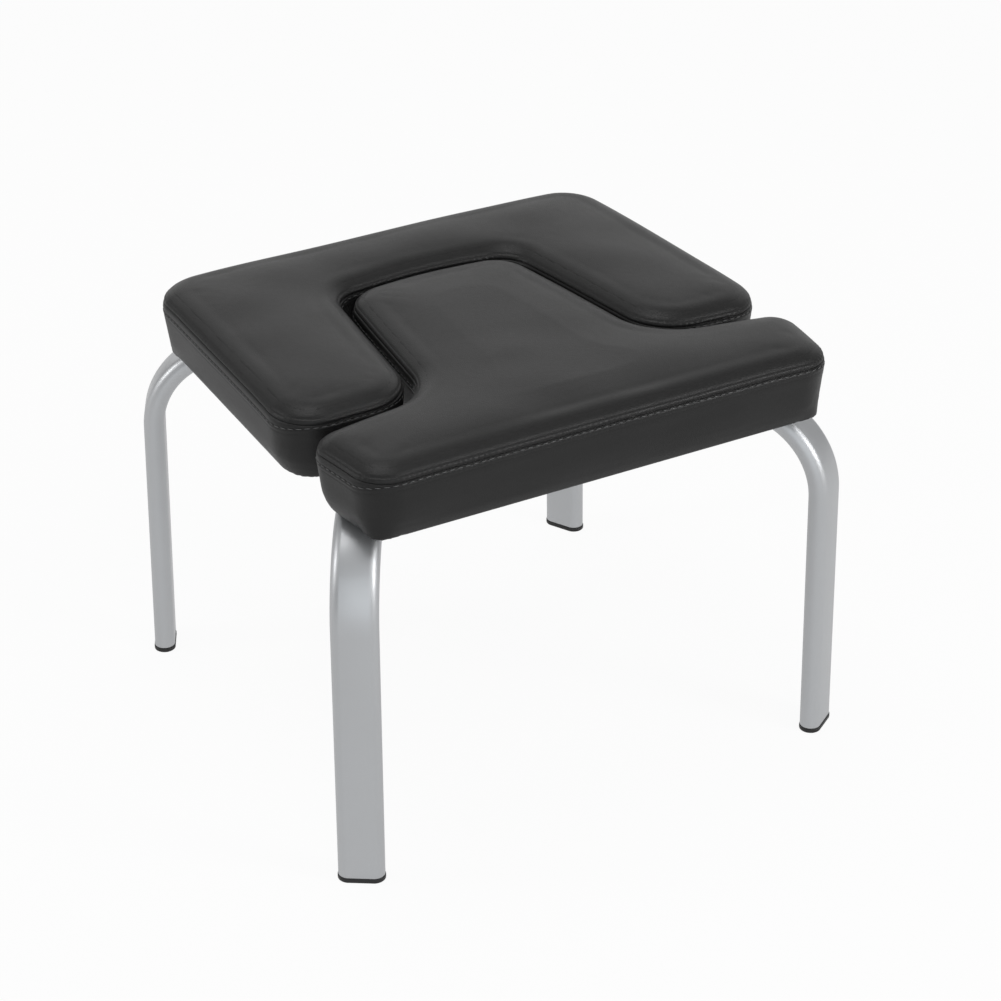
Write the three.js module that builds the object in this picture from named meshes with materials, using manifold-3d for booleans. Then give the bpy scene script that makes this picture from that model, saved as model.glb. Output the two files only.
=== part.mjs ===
// Yoga headstand stool: a low stool on four bent flat-oval tube legs. A U-shaped shoulder pad is bolted
// to the legs, and a T-shaped front pad drops into its opening and lifts out for headstands.
// Millimetres, +Z up, front towards -Y, origin on the floor in the middle of the footprint.

import * as THREE from 'three';
import { mergeVertices } from 'three/addons/utils/BufferGeometryUtils.js';
import Module from 'manifold-3d';

const degrees = THREE.MathUtils.degToRad;

// Driving sizes of the seat, along its top seam
const seatDepth = 380;
const seamHeight = 343;
const bandHeight = 51.7;
const crownHeight = 10;
const crownFlat = 16.5;

// Front pad, a T: a crossbar along the front edge and a tongue that fills the head opening
const crossbarFrontWidth = 398;
const crossbarBackWidth = 421;
const crossbarDepth = 84;
const crossbarShoulder = 15.5;
const crossbarFrontRadius = 30;
const crossbarBackRadius = 23;
const tongueRootWidth = 197;
const tongueWaistWidth = 169.5;
const tongueWaistShare = 0.6;
const tongueTipWidth = 149.5;
const tongueBow = 9;
const tongueRootRadius = 50;
const tongueWaistRadius = 250;
const tongueTipRadius = 35;
const tongueBowRadius = 300;

// Rear pad, a U round the tongue
const armsWidth = 425;
const backWidth = 400;
const backDepth = 80.5;
const armFrontGap = 21.5;
const groove = 7;
const armOuterRadius = 36;
const armInnerRadius = 45;
const backRadius = 37;

// Upholstery and board
const coverThickness = 1.2;
const clothThickness = 1;
const boardThickness = 12;
const bandInset = 8;
const underfold = 12;
const clothMargin = 0.5;

// Flat-oval tube of the legs
const tubeWidth = 36;
const tubeThickness = 17;
const tubeWall = 1.5;
const bendRadius = 68;
const lean = degrees(1);

// Feet, measured from the corners of the seat
const frontFootOutset = 11;
const frontFootSetback = 13.8;
const rearFootOutset = 1;
const rearFootBehind = 16.7;

// Black plastic plugs in the two ends of each tube
const footLip = 0.5;
const plugFit = 0.3;
const footPlugDepth = 18;
const armPlugDepth = 10;
const plugWall = 2;
const plugTaper = 0.8;
const plugChamfer = 1;
const footFlange = 4;
const armFlange = 2.5;

// Leg bolts, with button heads, washers and threaded inserts in the board
const boltDiameter = 6;
const boltHeadDiameter = 10.5;
const boltHeadHeight = 3.3;
const boltRimHeight = 1.1;
const boltFaceDiameter = 8;
const boltSocketWidth = 4;
const boltSocketDepth = 2;
const boltEdgeDistance = 10;
const boltSpacing = 36;
const boltEndDistance = 18;
const boltSideDistance = 6.8;
const boltBackDistance = 12.3;
const armEndGap = 11;
const boltTipSink = 1;
const washerDiameter = 14;
const washerThickness = 1.2;
const insertDiameter = 10;

// Rest plate under the tip of the tongue, with its screws and the pegs of the front pad
const plateWidth = 44;
const plateThickness = 3;
const plateRadius = 5;
const platePegMargin = 10;
const plateScrewMargin = 12;
const pegDiameter = 8;
const pegShankDiameter = 6;
const pegShankLength = 9;
const pegSpacing = 24;
const pegEdgeDistance = 9;
const pegReach = 10;
const pegNose = 2.5;
const pegTipDiameter = 5.5;
const screwDiameter = 4;
const screwHeadDiameter = 8;
const screwHeadHeight = 2.4;
const screwHeadChamfer = 1;
const screwSpacing = 24;
const screwEdgeDistance = 14;
const screwBite = 8;

// Clearances: between faces that rest on each other, and round a shaft in its hole
const restGap = 0.3;
const holeGap = 0.35;
const cutOverrun = 2;

// Fineness of the round stretches
const cornerStep = degrees(18);
const tubeStep = degrees(22.5);
const bendSteps = 10;
const turnedSides = 12;
const smallestRadius = 1.5;
const weldTolerance = 1e-4;

// Shapes of a pad's crown and side band, as shares of crownReach and crownHeight,
// and of bandInset and the depth below the seam
const crownShares = [[0, 0], [0.1, 0.26], [0.3, 0.6], [0.62, 0.9], [1, 1]];
const bandShares = [[1, 1], [0.82, 0.93], [0.36, 0.7], [0.06, 0.34], [-0.06, 0.12], [0, 0]];

// Heights of the stack
const padBase = seamHeight - bandHeight;
const armTop = padBase - restGap;
const boardBase = padBase + coverThickness + restGap;
const boardTop = boardBase + boardThickness;
const foamBase = boardTop + restGap;
const bandTop = seamHeight - restGap;
const boardInset = bandInset + coverThickness + restGap;
const tubeAxisHeight = armTop - tubeThickness / 2;
const armBottom = armTop - tubeThickness;
const plateBottom = armTop - plateThickness;

// The rear arms, from the foot to the last bolt: in from the side, and forward into the back bar
const crownReach = (backDepth - crownFlat) / 2;
const rearFootX = backWidth / 2 + rearFootOutset;
const rearArmIn = rearFootX - (plateWidth + tubeWidth) / 2 - armEndGap;
const rearArmForward = rearFootBehind + backDepth - boardInset - boltBackDistance;
const rearSplay = Math.atan2(rearArmForward, rearArmIn);

// Places in the plan, with the seat and the rear feet centred on the origin together
const sectionHalfStraight = (tubeWidth - tubeThickness) / 2;
const rearFootReach = rearFootBehind + sectionHalfStraight * Math.cos(rearSplay) + tubeThickness / 2;
const seatFront = -(seatDepth + rearFootReach) / 2;
const seatBack = seatFront + seatDepth;
const shoulderLine = seatFront + crossbarDepth + crossbarShoulder;
const tongueTip = seatBack - backDepth - groove;
const tongueEnd = tongueTip - tongueBow;
const waistLine = THREE.MathUtils.lerp(shoulderLine, tongueEnd, tongueWaistShare);
const armFront = seatFront + crossbarDepth + armFrontGap;
const frontFootY = seatFront + frontFootSetback;
const frontFootX = crossbarFrontWidth / 2 + frontFootOutset;
const rearFootY = seatBack + rearFootBehind;
const pegLine = tongueTip - boardInset - pegEdgeDistance;
const screwLine = tongueTip + groove + boardInset + screwEdgeDistance;

const wasm = await Module();
wasm.setup();

// A closed mesh as a solid that can be joined and cut.
function toSolid(geometry) {
  const bare = new THREE.BufferGeometry();
  bare.setAttribute('position', geometry.getAttribute('position'));
  bare.setIndex(geometry.getIndex());
  const welded = mergeVertices(bare, weldTolerance);
  return new wasm.Manifold(new wasm.Mesh({
    numProp: 3,
    vertProperties: new Float32Array(welded.getAttribute('position').array),
    triVerts: new Uint32Array(welded.getIndex().array),
  }));
}

// A solid as a mesh again, with flat faces.
function toGeometry(solid) {
  const mesh = solid.getMesh();
  const geometry = new THREE.BufferGeometry();
  geometry.setAttribute('position', new THREE.BufferAttribute(mesh.vertProperties, 3));
  geometry.setIndex(new THREE.BufferAttribute(mesh.triVerts, 1));
  return flatShaded(geometry);
}

function flatShaded(geometry) {
  const shaded = geometry.toNonIndexed();
  shaded.computeVertexNormals();
  return shaded;
}

function cut(geometry, cutters) {
  return toGeometry(cutters.reduce((solid, cutter) => solid.subtract(toSolid(cutter)), toSolid(geometry)));
}

// A round bar along Z, as a cutter or a shaft.
function bar(radius, bottom, top, x = 0, y = 0, sides = turnedSides) {
  const geometry = new THREE.CylinderGeometry(radius, radius, top - bottom, sides);
  geometry.rotateX(Math.PI / 2);
  return geometry.translate(x, y, (bottom + top) / 2);
}

// A turned piece: its closed half section, as [radius, height] pairs, revolved about Z.
function turned(section) {
  const profile = [...section, section[0]].map(([radius, height]) => new THREE.Vector2(radius, height));
  return new THREE.LatheGeometry(profile, turnedSides).rotateX(Math.PI / 2);
}

// The filleted outline of a polygon given counter-clockwise as {x, y, radius}, moved inwards by inset.
// Each outline of one polygon has the same number of points, whatever the inset.
function outline(corners, inset = 0, step = cornerStep) {
  const points = [];
  corners.forEach((corner, index) => {
    const { incoming, turn, mitre } = cornerFrame(corners, index);
    const side = Math.sign(turn);
    const radius = Math.max(corner.radius - side * inset, smallestRadius);
    const centre = new THREE.Vector2(corner.x, corner.y).addScaledVector(mitre, inset + side * radius);
    const steps = Math.max(1, Math.round(Math.abs(turn) / step));
    for (let k = 0; k <= steps; k += 1) {
      const normal = incoming.clone().rotateAround(new THREE.Vector2(), turn * k / steps);
      const point = centre.clone().addScaledVector(normal, -side * radius);
      if (!points.length || point.distanceTo(points.at(-1)) > weldTolerance) points.push(point);
    }
  });
  if (points[0].distanceTo(points.at(-1)) < weldTolerance) points.pop();
  return points;
}

// The inward normal of the edge that comes into a corner, the turn there and the mitre of a unit inset.
function cornerFrame(corners, index) {
  const at = (i) => new THREE.Vector2(corners.at(i % corners.length).x, corners.at(i % corners.length).y);
  const before = at(index).sub(at(index - 1)).normalize();
  const after = at(index + 1).sub(at(index)).normalize();
  const incoming = new THREE.Vector2(-before.y, before.x);
  const outgoing = new THREE.Vector2(-after.y, after.x);
  const turn = Math.atan2(before.cross(after), before.dot(after));
  const mitre = incoming.clone().add(outgoing).divideScalar(1 + incoming.dot(outgoing));
  return { incoming, turn, mitre };
}

// A corner of a polygon moved inwards, with the fillet that stays parallel.
function insetCorner(corners, index, inset) {
  const { turn, mitre } = cornerFrame(corners, index);
  const { x, y, radius } = corners[index];
  return { x: x + mitre.x * inset, y: y + mitre.y * inset, radius: radius - Math.sign(turn) * inset };
}

// A solid lofted through outlines of one polygon. The profile lists [inset, height] pairs that run up
// the outside: its two ends are capped flat, or it closes on itself as a hollow ring.
function lofted(corners, profile, { ring = false, step = cornerStep } = {}) {
  const contours = profile.map(([inset]) => outline(corners, inset, step));
  const count = contours[0].length;
  const positions = contours.flatMap((points, k) => points.flatMap((p) => [p.x, p.y, profile[k][1]]));
  const faces = [];
  const bridges = ring ? contours.length : contours.length - 1;
  for (let k = 0; k < bridges; k += 1) {
    const low = k * count;
    const high = ((k + 1) % contours.length) * count;
    for (let i = 0; i < count; i += 1) {
      const j = (i + 1) % count;
      faces.push(low + i, low + j, high + j, low + i, high + j, high + i);
    }
  }
  if (!ring) {
    const last = (contours.length - 1) * count;
    for (const [a, b, c] of THREE.ShapeUtils.triangulateShape(contours[0], [])) faces.push(a, c, b);
    for (const [a, b, c] of THREE.ShapeUtils.triangulateShape(contours.at(-1), [])) {
      faces.push(last + a, last + b, last + c);
    }
  }
  const geometry = new THREE.BufferGeometry();
  geometry.setAttribute('position', new THREE.Float32BufferAttribute(positions, 3));
  geometry.setIndex(faces);
  return flatShaded(geometry);
}

// Outlines of the pads

const mirrored = ({ x, y, radius }) => ({ x: -x, y, radius });

// The right half of the T's seam, from the front edge to the tip of the tongue.
const tongueRoot = { x: tongueRootWidth / 2, y: shoulderLine, radius: tongueRootRadius };
const tongueWaist = { x: tongueWaistWidth / 2, y: waistLine, radius: tongueWaistRadius };
const tongueCorner = { x: tongueTipWidth / 2, y: tongueEnd, radius: tongueTipRadius };
const tongueMiddle = { x: 0, y: tongueTip, radius: tongueBowRadius };
const frontPadHalf = [
  { x: crossbarFrontWidth / 2, y: seatFront, radius: crossbarFrontRadius },
  { x: crossbarBackWidth / 2, y: seatFront + crossbarDepth, radius: crossbarBackRadius },
  tongueRoot,
  tongueWaist,
  tongueCorner,
];
const frontPadCorners = [...frontPadHalf, tongueMiddle, ...frontPadHalf.toReversed().map(mirrored)];

// The right half of the U's opening follows the tongue at the groove's width, from the arm's front back.
const [openingRoot, openingWaist, openingCorner, openingMiddle] = [
  tongueRoot, tongueWaist, tongueCorner, tongueMiddle,
].map((corner) => insetCorner(frontPadCorners, frontPadCorners.indexOf(corner), -groove));
const openingSlope = (openingWaist.x - openingRoot.x) / (openingWaist.y - openingRoot.y);
const openingSideAt = (y) => openingRoot.x + openingSlope * (y - openingRoot.y);
const armInner = { x: openingSideAt(armFront), y: armFront, radius: armInnerRadius };
const openingHalf = [armInner, openingWaist, openingCorner];
const outerHalf = [
  { x: armsWidth / 2, y: armFront, radius: armOuterRadius },
  { x: backWidth / 2, y: seatBack, radius: backRadius },
];
const rearPadCorners = [
  ...outerHalf,
  ...outerHalf.toReversed().map(mirrored),
  ...openingHalf.map(mirrored),
  openingMiddle,
  ...openingHalf.toReversed(),
];

// Finishes

function finish(color, roughness, metalness = 0) {
  return () => new THREE.MeshStandardMaterial({ color, roughness, metalness });
}

const leatherette = finish('#3b3b3d', 0.5);
const foamRubber = finish('#e8dfbf', 0.95);
const plywood = finish('#c79c66', 0.8);
const dustCloth = finish('#1d1d1f', 0.95);
const zincedSteel = finish('#a9adb3', 0.35, 0.9);
const blackPlastic = finish('#1b1b1d', 0.55);
const brightSteel = finish('#c3c6c9', 0.3, 1);

function named(name, geometry, material) {
  const mesh = new THREE.Mesh(geometry, material());
  mesh.name = name;
  return mesh;
}

// Pads

// How far the outside of the side band lies inside the seam at a height.
function bandInsetAt(height) {
  const share = (bandTop - height) / (bandTop - padBase);
  const upper = bandShares.findIndex(([, drop]) => drop <= share);
  const [highInset, highDrop] = bandShares[upper];
  const [lowInset, lowDrop] = bandShares[Math.max(upper - 1, 0)];
  const along = lowDrop === highDrop ? 0 : (share - highDrop) / (lowDrop - highDrop);
  return bandInset * THREE.MathUtils.lerp(highInset, lowInset, along);
}

// The crown's profile from the seam inwards, sunk by a depth that fades to nothing sideways.
function crownProfile(depth = 0) {
  return crownShares.map(([reach, rise]) => [
    crownReach * reach + depth * (1 - reach),
    seamHeight + crownHeight * rise - (reach > 0 ? depth : 0),
  ]);
}

function bandProfile() {
  const outside = bandShares.map(([inset, drop]) => [
    bandInset * inset,
    bandTop - (bandTop - padBase) * drop,
  ]);
  const inside = outside.slice(1).toReversed().map(([inset, height]) => [inset + coverThickness, height]);
  const foldEnd = bandInset + underfold;
  const fold = [
    [bandInset + coverThickness, padBase + coverThickness],
    [foldEnd, padBase + coverThickness],
    [foldEnd, padBase],
  ];
  return [...outside, ...inside, ...fold];
}

const sideBand = (corners) => lofted(corners, bandProfile(), { ring: true });

function foamProfile() {
  const skin = coverThickness + restGap;
  const sideHeights = bandShares
    .map(([, drop]) => bandTop - (bandTop - padBase) * drop)
    .filter((height) => height > foamBase && height < bandTop);
  const side = [foamBase, ...sideHeights].map((height) => [bandInsetAt(height) + skin, height]);
  return [...side, ...crownProfile(skin).with(0, [skin, bandTop])];
}

// An upholstered pad: top cover and side band sewn at the seam, foam, plywood board and base cloth.
// Holes is a list of {x, y, skin, board, depth}: radii through the covers and the board, and how deep.
function pad(prefix, corners, holes) {
  const throughSkin = holes.map(({ x, y, skin }) => bar(skin, armTop - cutOverrun, boardBase, x, y));
  const throughBoard = holes.map(({ x, y, board, depth }) => (
    bar(board, boardBase - cutOverrun, boardBase + depth, x, y)
  ));
  const clothTop = boardBase - restGap;
  const clothInset = bandInset + underfold + clothMargin;
  const topCover = [...crownProfile(coverThickness).with(0, [coverThickness, seamHeight]).toReversed(),
    ...crownProfile()];
  const board = [[boardInset, boardBase], [boardInset, boardTop]];
  const cloth = [[clothInset, clothTop - clothThickness], [clothInset, clothTop]];
  return [
    named(`${prefix}_top_cover`, lofted(corners, topCover), leatherette),
    named(`${prefix}_side_band`, cut(sideBand(corners), throughSkin), leatherette),
    named(`${prefix}_foam`, lofted(corners, foamProfile()), foamRubber),
    named(`${prefix}_board`, cut(lofted(corners, board), throughBoard), plywood),
    named(`${prefix}_base_cloth`, cut(lofted(corners, cloth), throughSkin), dustCloth),
  ];
}

// Legs

// The front arms cross the first bolts' line and pass beside the opening, one bolt spacing farther back.
const firstBoltLine = armFront + boardInset + boltEdgeDistance;
const passingLine = firstBoltLine + boltSpacing;
const passingPlace = openingSideAt(passingLine) + boardInset + boltSideDistance;
const frontSplay = Math.atan2(frontFootX - passingPlace, passingLine - frontFootY);

// An arm, level from the bend to its end: its bolts and its length, as distances from the foot's centre.
function armTo(lastBolt) {
  return { bolts: [lastBolt - boltSpacing, lastBolt], reach: lastBolt + boltEndDistance };
}

const frontArm = armTo((firstBoltLine - frontFootY) / Math.cos(frontSplay) + boltSpacing);
const rearArm = armTo(Math.hypot(rearArmIn, rearArmForward));

const tubeCorners = [[1, -1], [1, 1], [-1, 1], [-1, -1]].map(([x, y]) => ({
  x: x * tubeWidth / 2,
  y: y * tubeThickness / 2,
  radius: tubeThickness / 2,
}));

// The centre line of a leg: up from the foot with a slight lean, one bend, then level along +X.
// Its stations are one straight, the steps of the bend and the straight arm.
class LegPath extends THREE.Curve {
  constructor(bottom, reach) {
    super();
    this.reach = reach;
    this.start = new THREE.Vector3(bottom * Math.tan(lean), 0, bottom);
    this.riser = new THREE.Vector3(Math.sin(lean), 0, Math.cos(lean));
    const rise = tubeAxisHeight - bendRadius * (1 - Math.sin(lean)) - bottom;
    this.bendStart = this.start.clone().addScaledVector(this.riser, rise / Math.cos(lean));
    this.bendCentre = this.bendStart.clone()
      .add(new THREE.Vector3(bendRadius * Math.cos(lean), 0, -bendRadius * Math.sin(lean)));
    this.stations = bendSteps + 2;
  }

  getPoint(t) {
    const station = t * this.stations;
    if (station < 1) return this.start.clone().lerp(this.bendStart, station);
    const turned = Math.min((station - 1) / bendSteps, 1);
    const angle = Math.PI - lean - turned * (Math.PI / 2 - lean);
    const point = this.bendCentre.clone()
      .add(new THREE.Vector3(bendRadius * Math.cos(angle), 0, bendRadius * Math.sin(angle)));
    const along = Math.max(station - 1 - bendSteps, 0);
    return point.add(new THREE.Vector3(along * (this.reach - this.bendCentre.x), 0, 0));
  }

  getTangent(t) {
    const turned = THREE.MathUtils.clamp((t * this.stations - 1) / bendSteps, 0, 1);
    const angle = lean + turned * (Math.PI / 2 - lean);
    return new THREE.Vector3(Math.sin(angle), 0, Math.cos(angle));
  }

  getUtoTmapping(u) {
    return u;
  }
}

function legTube(arm) {
  const path = new LegPath(footFlange + restGap, arm.reach);
  const section = new THREE.Shape(outline(tubeCorners, 0, tubeStep));
  section.holes.push(new THREE.Path(outline(tubeCorners, tubeWall, tubeStep)));
  const tube = new THREE.ExtrudeGeometry(section, { steps: path.stations, extrudePath: path });
  const holes = arm.bolts.map((place) => (
    bar(boltDiameter / 2 + holeGap, armBottom - cutOverrun, armTop + cutOverrun, place)
  ));
  return cut(tube, holes);
}

// A plug along +Z, widest across Y: a flange outside the tube and a tapered skirt inside it, which
// leaves room for the tube's drift sideways along the skirt.
function tubePlug({ flange, depth, lip = 0, drift = 0, hollow = false }) {
  const skirt = tubeWall + plugFit + drift;
  const bore = skirt + plugWall;
  const profile = [
    [plugChamfer - lip, 0],
    [-lip, plugChamfer],
    [-lip, flange],
    [skirt, flange],
    [skirt, flange + depth - plugTaper],
    [skirt + plugTaper, flange + depth],
  ];
  if (hollow) profile.push([bore, flange + depth], [bore, flange]);
  return lofted(tubeCorners, profile, { step: tubeStep }).rotateZ(Math.PI / 2);
}

function footCap() {
  const drift = footPlugDepth * Math.tan(lean);
  return tubePlug({ flange: footFlange, depth: footPlugDepth, lip: footLip, drift, hollow: true });
}

function armPlug() {
  return tubePlug({ flange: armFlange, depth: armPlugDepth }).rotateY(-Math.PI / 2);
}

function bolt() {
  const underHead = armBottom - washerThickness - 2 * restGap;
  const headRim = underHead - boltRimHeight;
  const headFace = underHead - boltHeadHeight;
  const body = turned([
    [0, headFace],
    [boltFaceDiameter / 2, headFace],
    [boltHeadDiameter / 2, headRim],
    [boltHeadDiameter / 2, underHead],
    [boltDiameter / 2, underHead],
    [boltDiameter / 2, boardTop - boltTipSink],
    [0, boardTop - boltTipSink],
  ]);
  const hexagonSides = 6;
  const socketRadius = boltSocketWidth / 2 / Math.cos(Math.PI / hexagonSides);
  const socketTop = headFace + boltSocketDepth;
  return cut(body, [bar(socketRadius, headFace - cutOverrun, socketTop, 0, 0, hexagonSides)]);
}

// A flat or long ring about Z.
function collar(innerRadius, outerRadius, bottom, top) {
  return turned([[innerRadius, bottom], [outerRadius, bottom], [outerRadius, top], [innerRadius, top]]);
}

function washer() {
  const top = armBottom - restGap;
  return collar(boltDiameter / 2 + holeGap, washerDiameter / 2, top - washerThickness, top);
}

function threadedInsert() {
  return collar(boltDiameter / 2 + holeGap, insertDiameter / 2, boardBase + restGap, boardTop);
}

const legs = [
  { name: 'front_left', x: -frontFootX, y: frontFootY, yaw: Math.PI / 2 - frontSplay, arm: frontArm },
  { name: 'front_right', x: frontFootX, y: frontFootY, yaw: Math.PI / 2 + frontSplay, arm: frontArm },
  { name: 'rear_left', x: -rearFootX, y: rearFootY, yaw: -rearSplay, arm: rearArm },
  { name: 'rear_right', x: rearFootX, y: rearFootY, yaw: Math.PI + rearSplay, arm: rearArm },
];

// One leg with its plugs and fasteners, in its own group at the foot.
function leg({ name, x, y, yaw, arm }) {
  const group = new THREE.Group();
  group.position.set(x, y, 0);
  group.rotation.z = yaw;
  group.add(named(`leg_${name}`, legTube(arm), zincedSteel));
  group.add(named(`foot_cap_${name}`, footCap(), blackPlastic));
  const plug = named(`arm_plug_${name}`, armPlug(), blackPlastic);
  plug.position.set(arm.reach + restGap + armFlange, 0, tubeAxisHeight);
  group.add(plug);
  arm.bolts.forEach((place, index) => {
    const label = `${name}_${index + 1}`;
    const set = [
      named(`leg_bolt_${label}`, bolt(), brightSteel),
      named(`bolt_washer_${label}`, washer(), brightSteel),
      named(`threaded_insert_${label}`, threadedInsert(), brightSteel),
    ];
    for (const piece of set) {
      piece.position.x = place;
      group.add(piece);
    }
  });
  return group;
}

const boltHoles = legs.flatMap(({ x, y, yaw, arm }) => arm.bolts.map((place) => ({
  x: x + place * Math.cos(yaw),
  y: y + place * Math.sin(yaw),
  skin: boltDiameter / 2 + holeGap,
  board: insertDiameter / 2 + holeGap,
  depth: boardThickness + cutOverrun,
})));

// Rest plate, screws and pegs

const pairOffsets = (spacing) => [['left', -spacing / 2], ['right', spacing / 2]];

function restPlate() {
  const front = pegLine - platePegMargin;
  const back = screwLine + plateScrewMargin;
  const half = plateWidth / 2;
  const corners = [[half, front], [half, back], [-half, back], [-half, front]]
    .map(([x, y]) => ({ x, y, radius: plateRadius }));
  const blank = lofted(corners, [[0, plateBottom], [0, armTop]], { step: tubeStep });
  const holes = [[pegSpacing, pegLine, pegDiameter], [screwSpacing, screwLine, screwDiameter]];
  return cut(blank, holes.flatMap(([spacing, line, diameter]) => pairOffsets(spacing).map(([, x]) => (
    bar(diameter / 2 + holeGap, plateBottom - cutOverrun, armTop + cutOverrun, x, line)
  ))));
}

function plateScrew() {
  const underHead = plateBottom - restGap;
  return turned([
    [0, underHead - screwHeadHeight],
    [screwHeadDiameter / 2 - screwHeadChamfer, underHead - screwHeadHeight],
    [screwHeadDiameter / 2, underHead],
    [screwDiameter / 2, underHead],
    [screwDiameter / 2, boardBase + screwBite],
    [0, boardBase + screwBite],
  ]);
}

function peg() {
  const tip = plateBottom - pegReach;
  const shoulder = boardBase - restGap;
  return turned([
    [0, tip],
    [pegTipDiameter / 2, tip],
    [pegDiameter / 2, tip + pegNose],
    [pegDiameter / 2, shoulder],
    [pegShankDiameter / 2, shoulder],
    [pegShankDiameter / 2, boardBase + pegShankLength],
    [0, boardBase + pegShankLength],
  ]);
}

const screwHoles = pairOffsets(screwSpacing).map(([, x]) => ({
  x,
  y: screwLine,
  skin: screwDiameter / 2 + holeGap,
  board: screwDiameter / 2 + holeGap,
  depth: screwBite + restGap,
}));
const pegHoles = pairOffsets(pegSpacing).map(([, x]) => ({
  x,
  y: pegLine,
  skin: pegDiameter / 2 + holeGap,
  board: pegShankDiameter / 2 + holeGap,
  depth: pegShankLength + restGap,
}));

function placedPairs(prefix, spacing, line, make) {
  return pairOffsets(spacing).map(([side, x]) => {
    const piece = named(`${prefix}_${side}`, make(), brightSteel);
    piece.position.set(x, line, 0);
    return piece;
  });
}

// Assembly

const stool = new THREE.Group();
const frame = new THREE.Group();
frame.add(...legs.map(leg));
frame.add(named('rest_plate', restPlate(), zincedSteel));
frame.add(...placedPairs('plate_screw', screwSpacing, screwLine, plateScrew));
frame.add(...pad('rear_pad', rearPadCorners, [...boltHoles, ...screwHoles]));

const frontPad = new THREE.Group();
frontPad.add(...pad('front_pad', frontPadCorners, pegHoles));
frontPad.add(...placedPairs('front_pad_peg', pegSpacing, pegLine, peg));

stool.add(frame, frontPad);

export default stool;
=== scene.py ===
"""Looks of a yoga headstand stool: two upholstered pads on four satin flat-oval legs."""

from __future__ import annotations

import logging
import math
from dataclasses import dataclass
from enum import Enum
from typing import Iterable, Sequence

import bmesh
import bpy
import numpy as np
from mathutils import Euler, Matrix, Vector, noise


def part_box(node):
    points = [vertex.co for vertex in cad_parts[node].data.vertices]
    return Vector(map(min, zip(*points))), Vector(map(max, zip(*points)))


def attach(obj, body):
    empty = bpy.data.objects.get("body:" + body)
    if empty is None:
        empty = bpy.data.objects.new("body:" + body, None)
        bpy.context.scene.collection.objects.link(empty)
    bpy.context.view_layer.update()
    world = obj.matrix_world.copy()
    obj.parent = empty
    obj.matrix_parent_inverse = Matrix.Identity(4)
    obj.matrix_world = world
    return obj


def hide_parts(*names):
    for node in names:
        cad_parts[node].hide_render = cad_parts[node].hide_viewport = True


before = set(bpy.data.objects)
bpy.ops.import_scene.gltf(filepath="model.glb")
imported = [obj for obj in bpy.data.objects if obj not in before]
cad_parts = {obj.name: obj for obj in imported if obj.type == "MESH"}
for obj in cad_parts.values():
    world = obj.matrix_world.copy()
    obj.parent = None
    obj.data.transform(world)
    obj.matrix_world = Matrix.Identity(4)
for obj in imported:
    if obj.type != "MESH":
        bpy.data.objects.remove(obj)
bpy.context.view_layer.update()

LOG = logging.getLogger("stool")
MM = 0.001
SAME_PLACE = 0.01 * MM

Shape = bmesh.types.BMesh
Ring = list[bmesh.types.BMVert]
Edges = list[bmesh.types.BMEdge]
Piece = bpy.types.Object
Socket = bpy.types.NodeSocket
Rows = np.ndarray
Colour = tuple[float, float, float, float]


# Meshes


def new_piece(name: str, shape: Shape, smooth_below: float = 40.0) -> Piece:
    """Turns a finished bmesh into a scene object with smooth faces and sharp creases.

    Args:
        name: the piece's name.
        shape: the bmesh, which is freed.
        smooth_below: edges that turn more than this many degrees stay sharp.

    Returns:
        The new object, at the origin.
    """
    bmesh.ops.recalc_face_normals(shape, faces=shape.faces)
    limit = math.radians(smooth_below)
    for face in shape.faces:
        face.smooth = True
    for edge in shape.edges:
        edge.smooth = not (edge.is_manifold and edge.calc_face_angle() > limit)
    mesh = bpy.data.meshes.new(name)
    shape.to_mesh(mesh)
    shape.free()
    piece = bpy.data.objects.new(name, mesh)
    bpy.context.scene.collection.objects.link(piece)
    return piece


def vertices_of(piece: Piece) -> Rows:
    """Reads a mesh's vertices.

    Args:
        piece: the piece.

    Returns:
        Rows of x, y and z.
    """
    places = np.zeros(len(piece.data.vertices) * 3, np.float32)
    piece.data.vertices.foreach_get("co", places)
    return places.reshape(-1, 3).astype(float)


def place_vertices(piece: Piece, places: Rows) -> None:
    """Moves a mesh's vertices to the rows of an array."""
    piece.data.vertices.foreach_set("co", places.astype(np.float32).ravel())
    piece.data.update()


def smooth_step(values: Rows, low: float, high: float) -> Rows:
    """Returns 0 below a low value, 1 above a high one and a soft rise between them."""
    share = np.clip((values - low) / (high - low), 0, 1)
    return share * share * (3 - 2 * share)


def bell(values: Rows | float, width: float) -> Rows:
    """Returns 1 at zero, falling to nothing on both sides over about a width."""
    return np.exp(-((values / width) ** 2))


def resampled(rows: Rows, arc: Rows, wanted: Rows, period: float | None = None) -> Rows:
    """Returns the rows of a line at wanted distances along it."""
    return np.stack([np.interp(wanted, arc, rows[:, k], period=period) for k in range(2)], 1)


def arc_of(line: Rows) -> Rows:
    """Returns the distance along a line at each of its rows."""
    return np.concatenate([[0], np.cumsum(np.linalg.norm(np.diff(line, axis=0), axis=1))])


def apply_modifiers(piece: Piece) -> None:
    """Replaces a piece's mesh by what its modifiers make of it, and removes them.

    Args:
        piece: the piece.
    """
    graph = bpy.context.evaluated_depsgraph_get()
    made = bpy.data.meshes.new_from_object(piece.evaluated_get(graph), depsgraph=graph)
    old = piece.data
    piece.modifiers.clear()
    piece.data = made
    bpy.data.meshes.remove(old)
    for polygon in made.polygons:
        polygon.use_smooth = True


def fresh_vertices(made: Iterable[object]) -> Ring:
    """Returns the vertices among what an operator made."""
    return [element for element in made if isinstance(element, bmesh.types.BMVert)]


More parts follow.
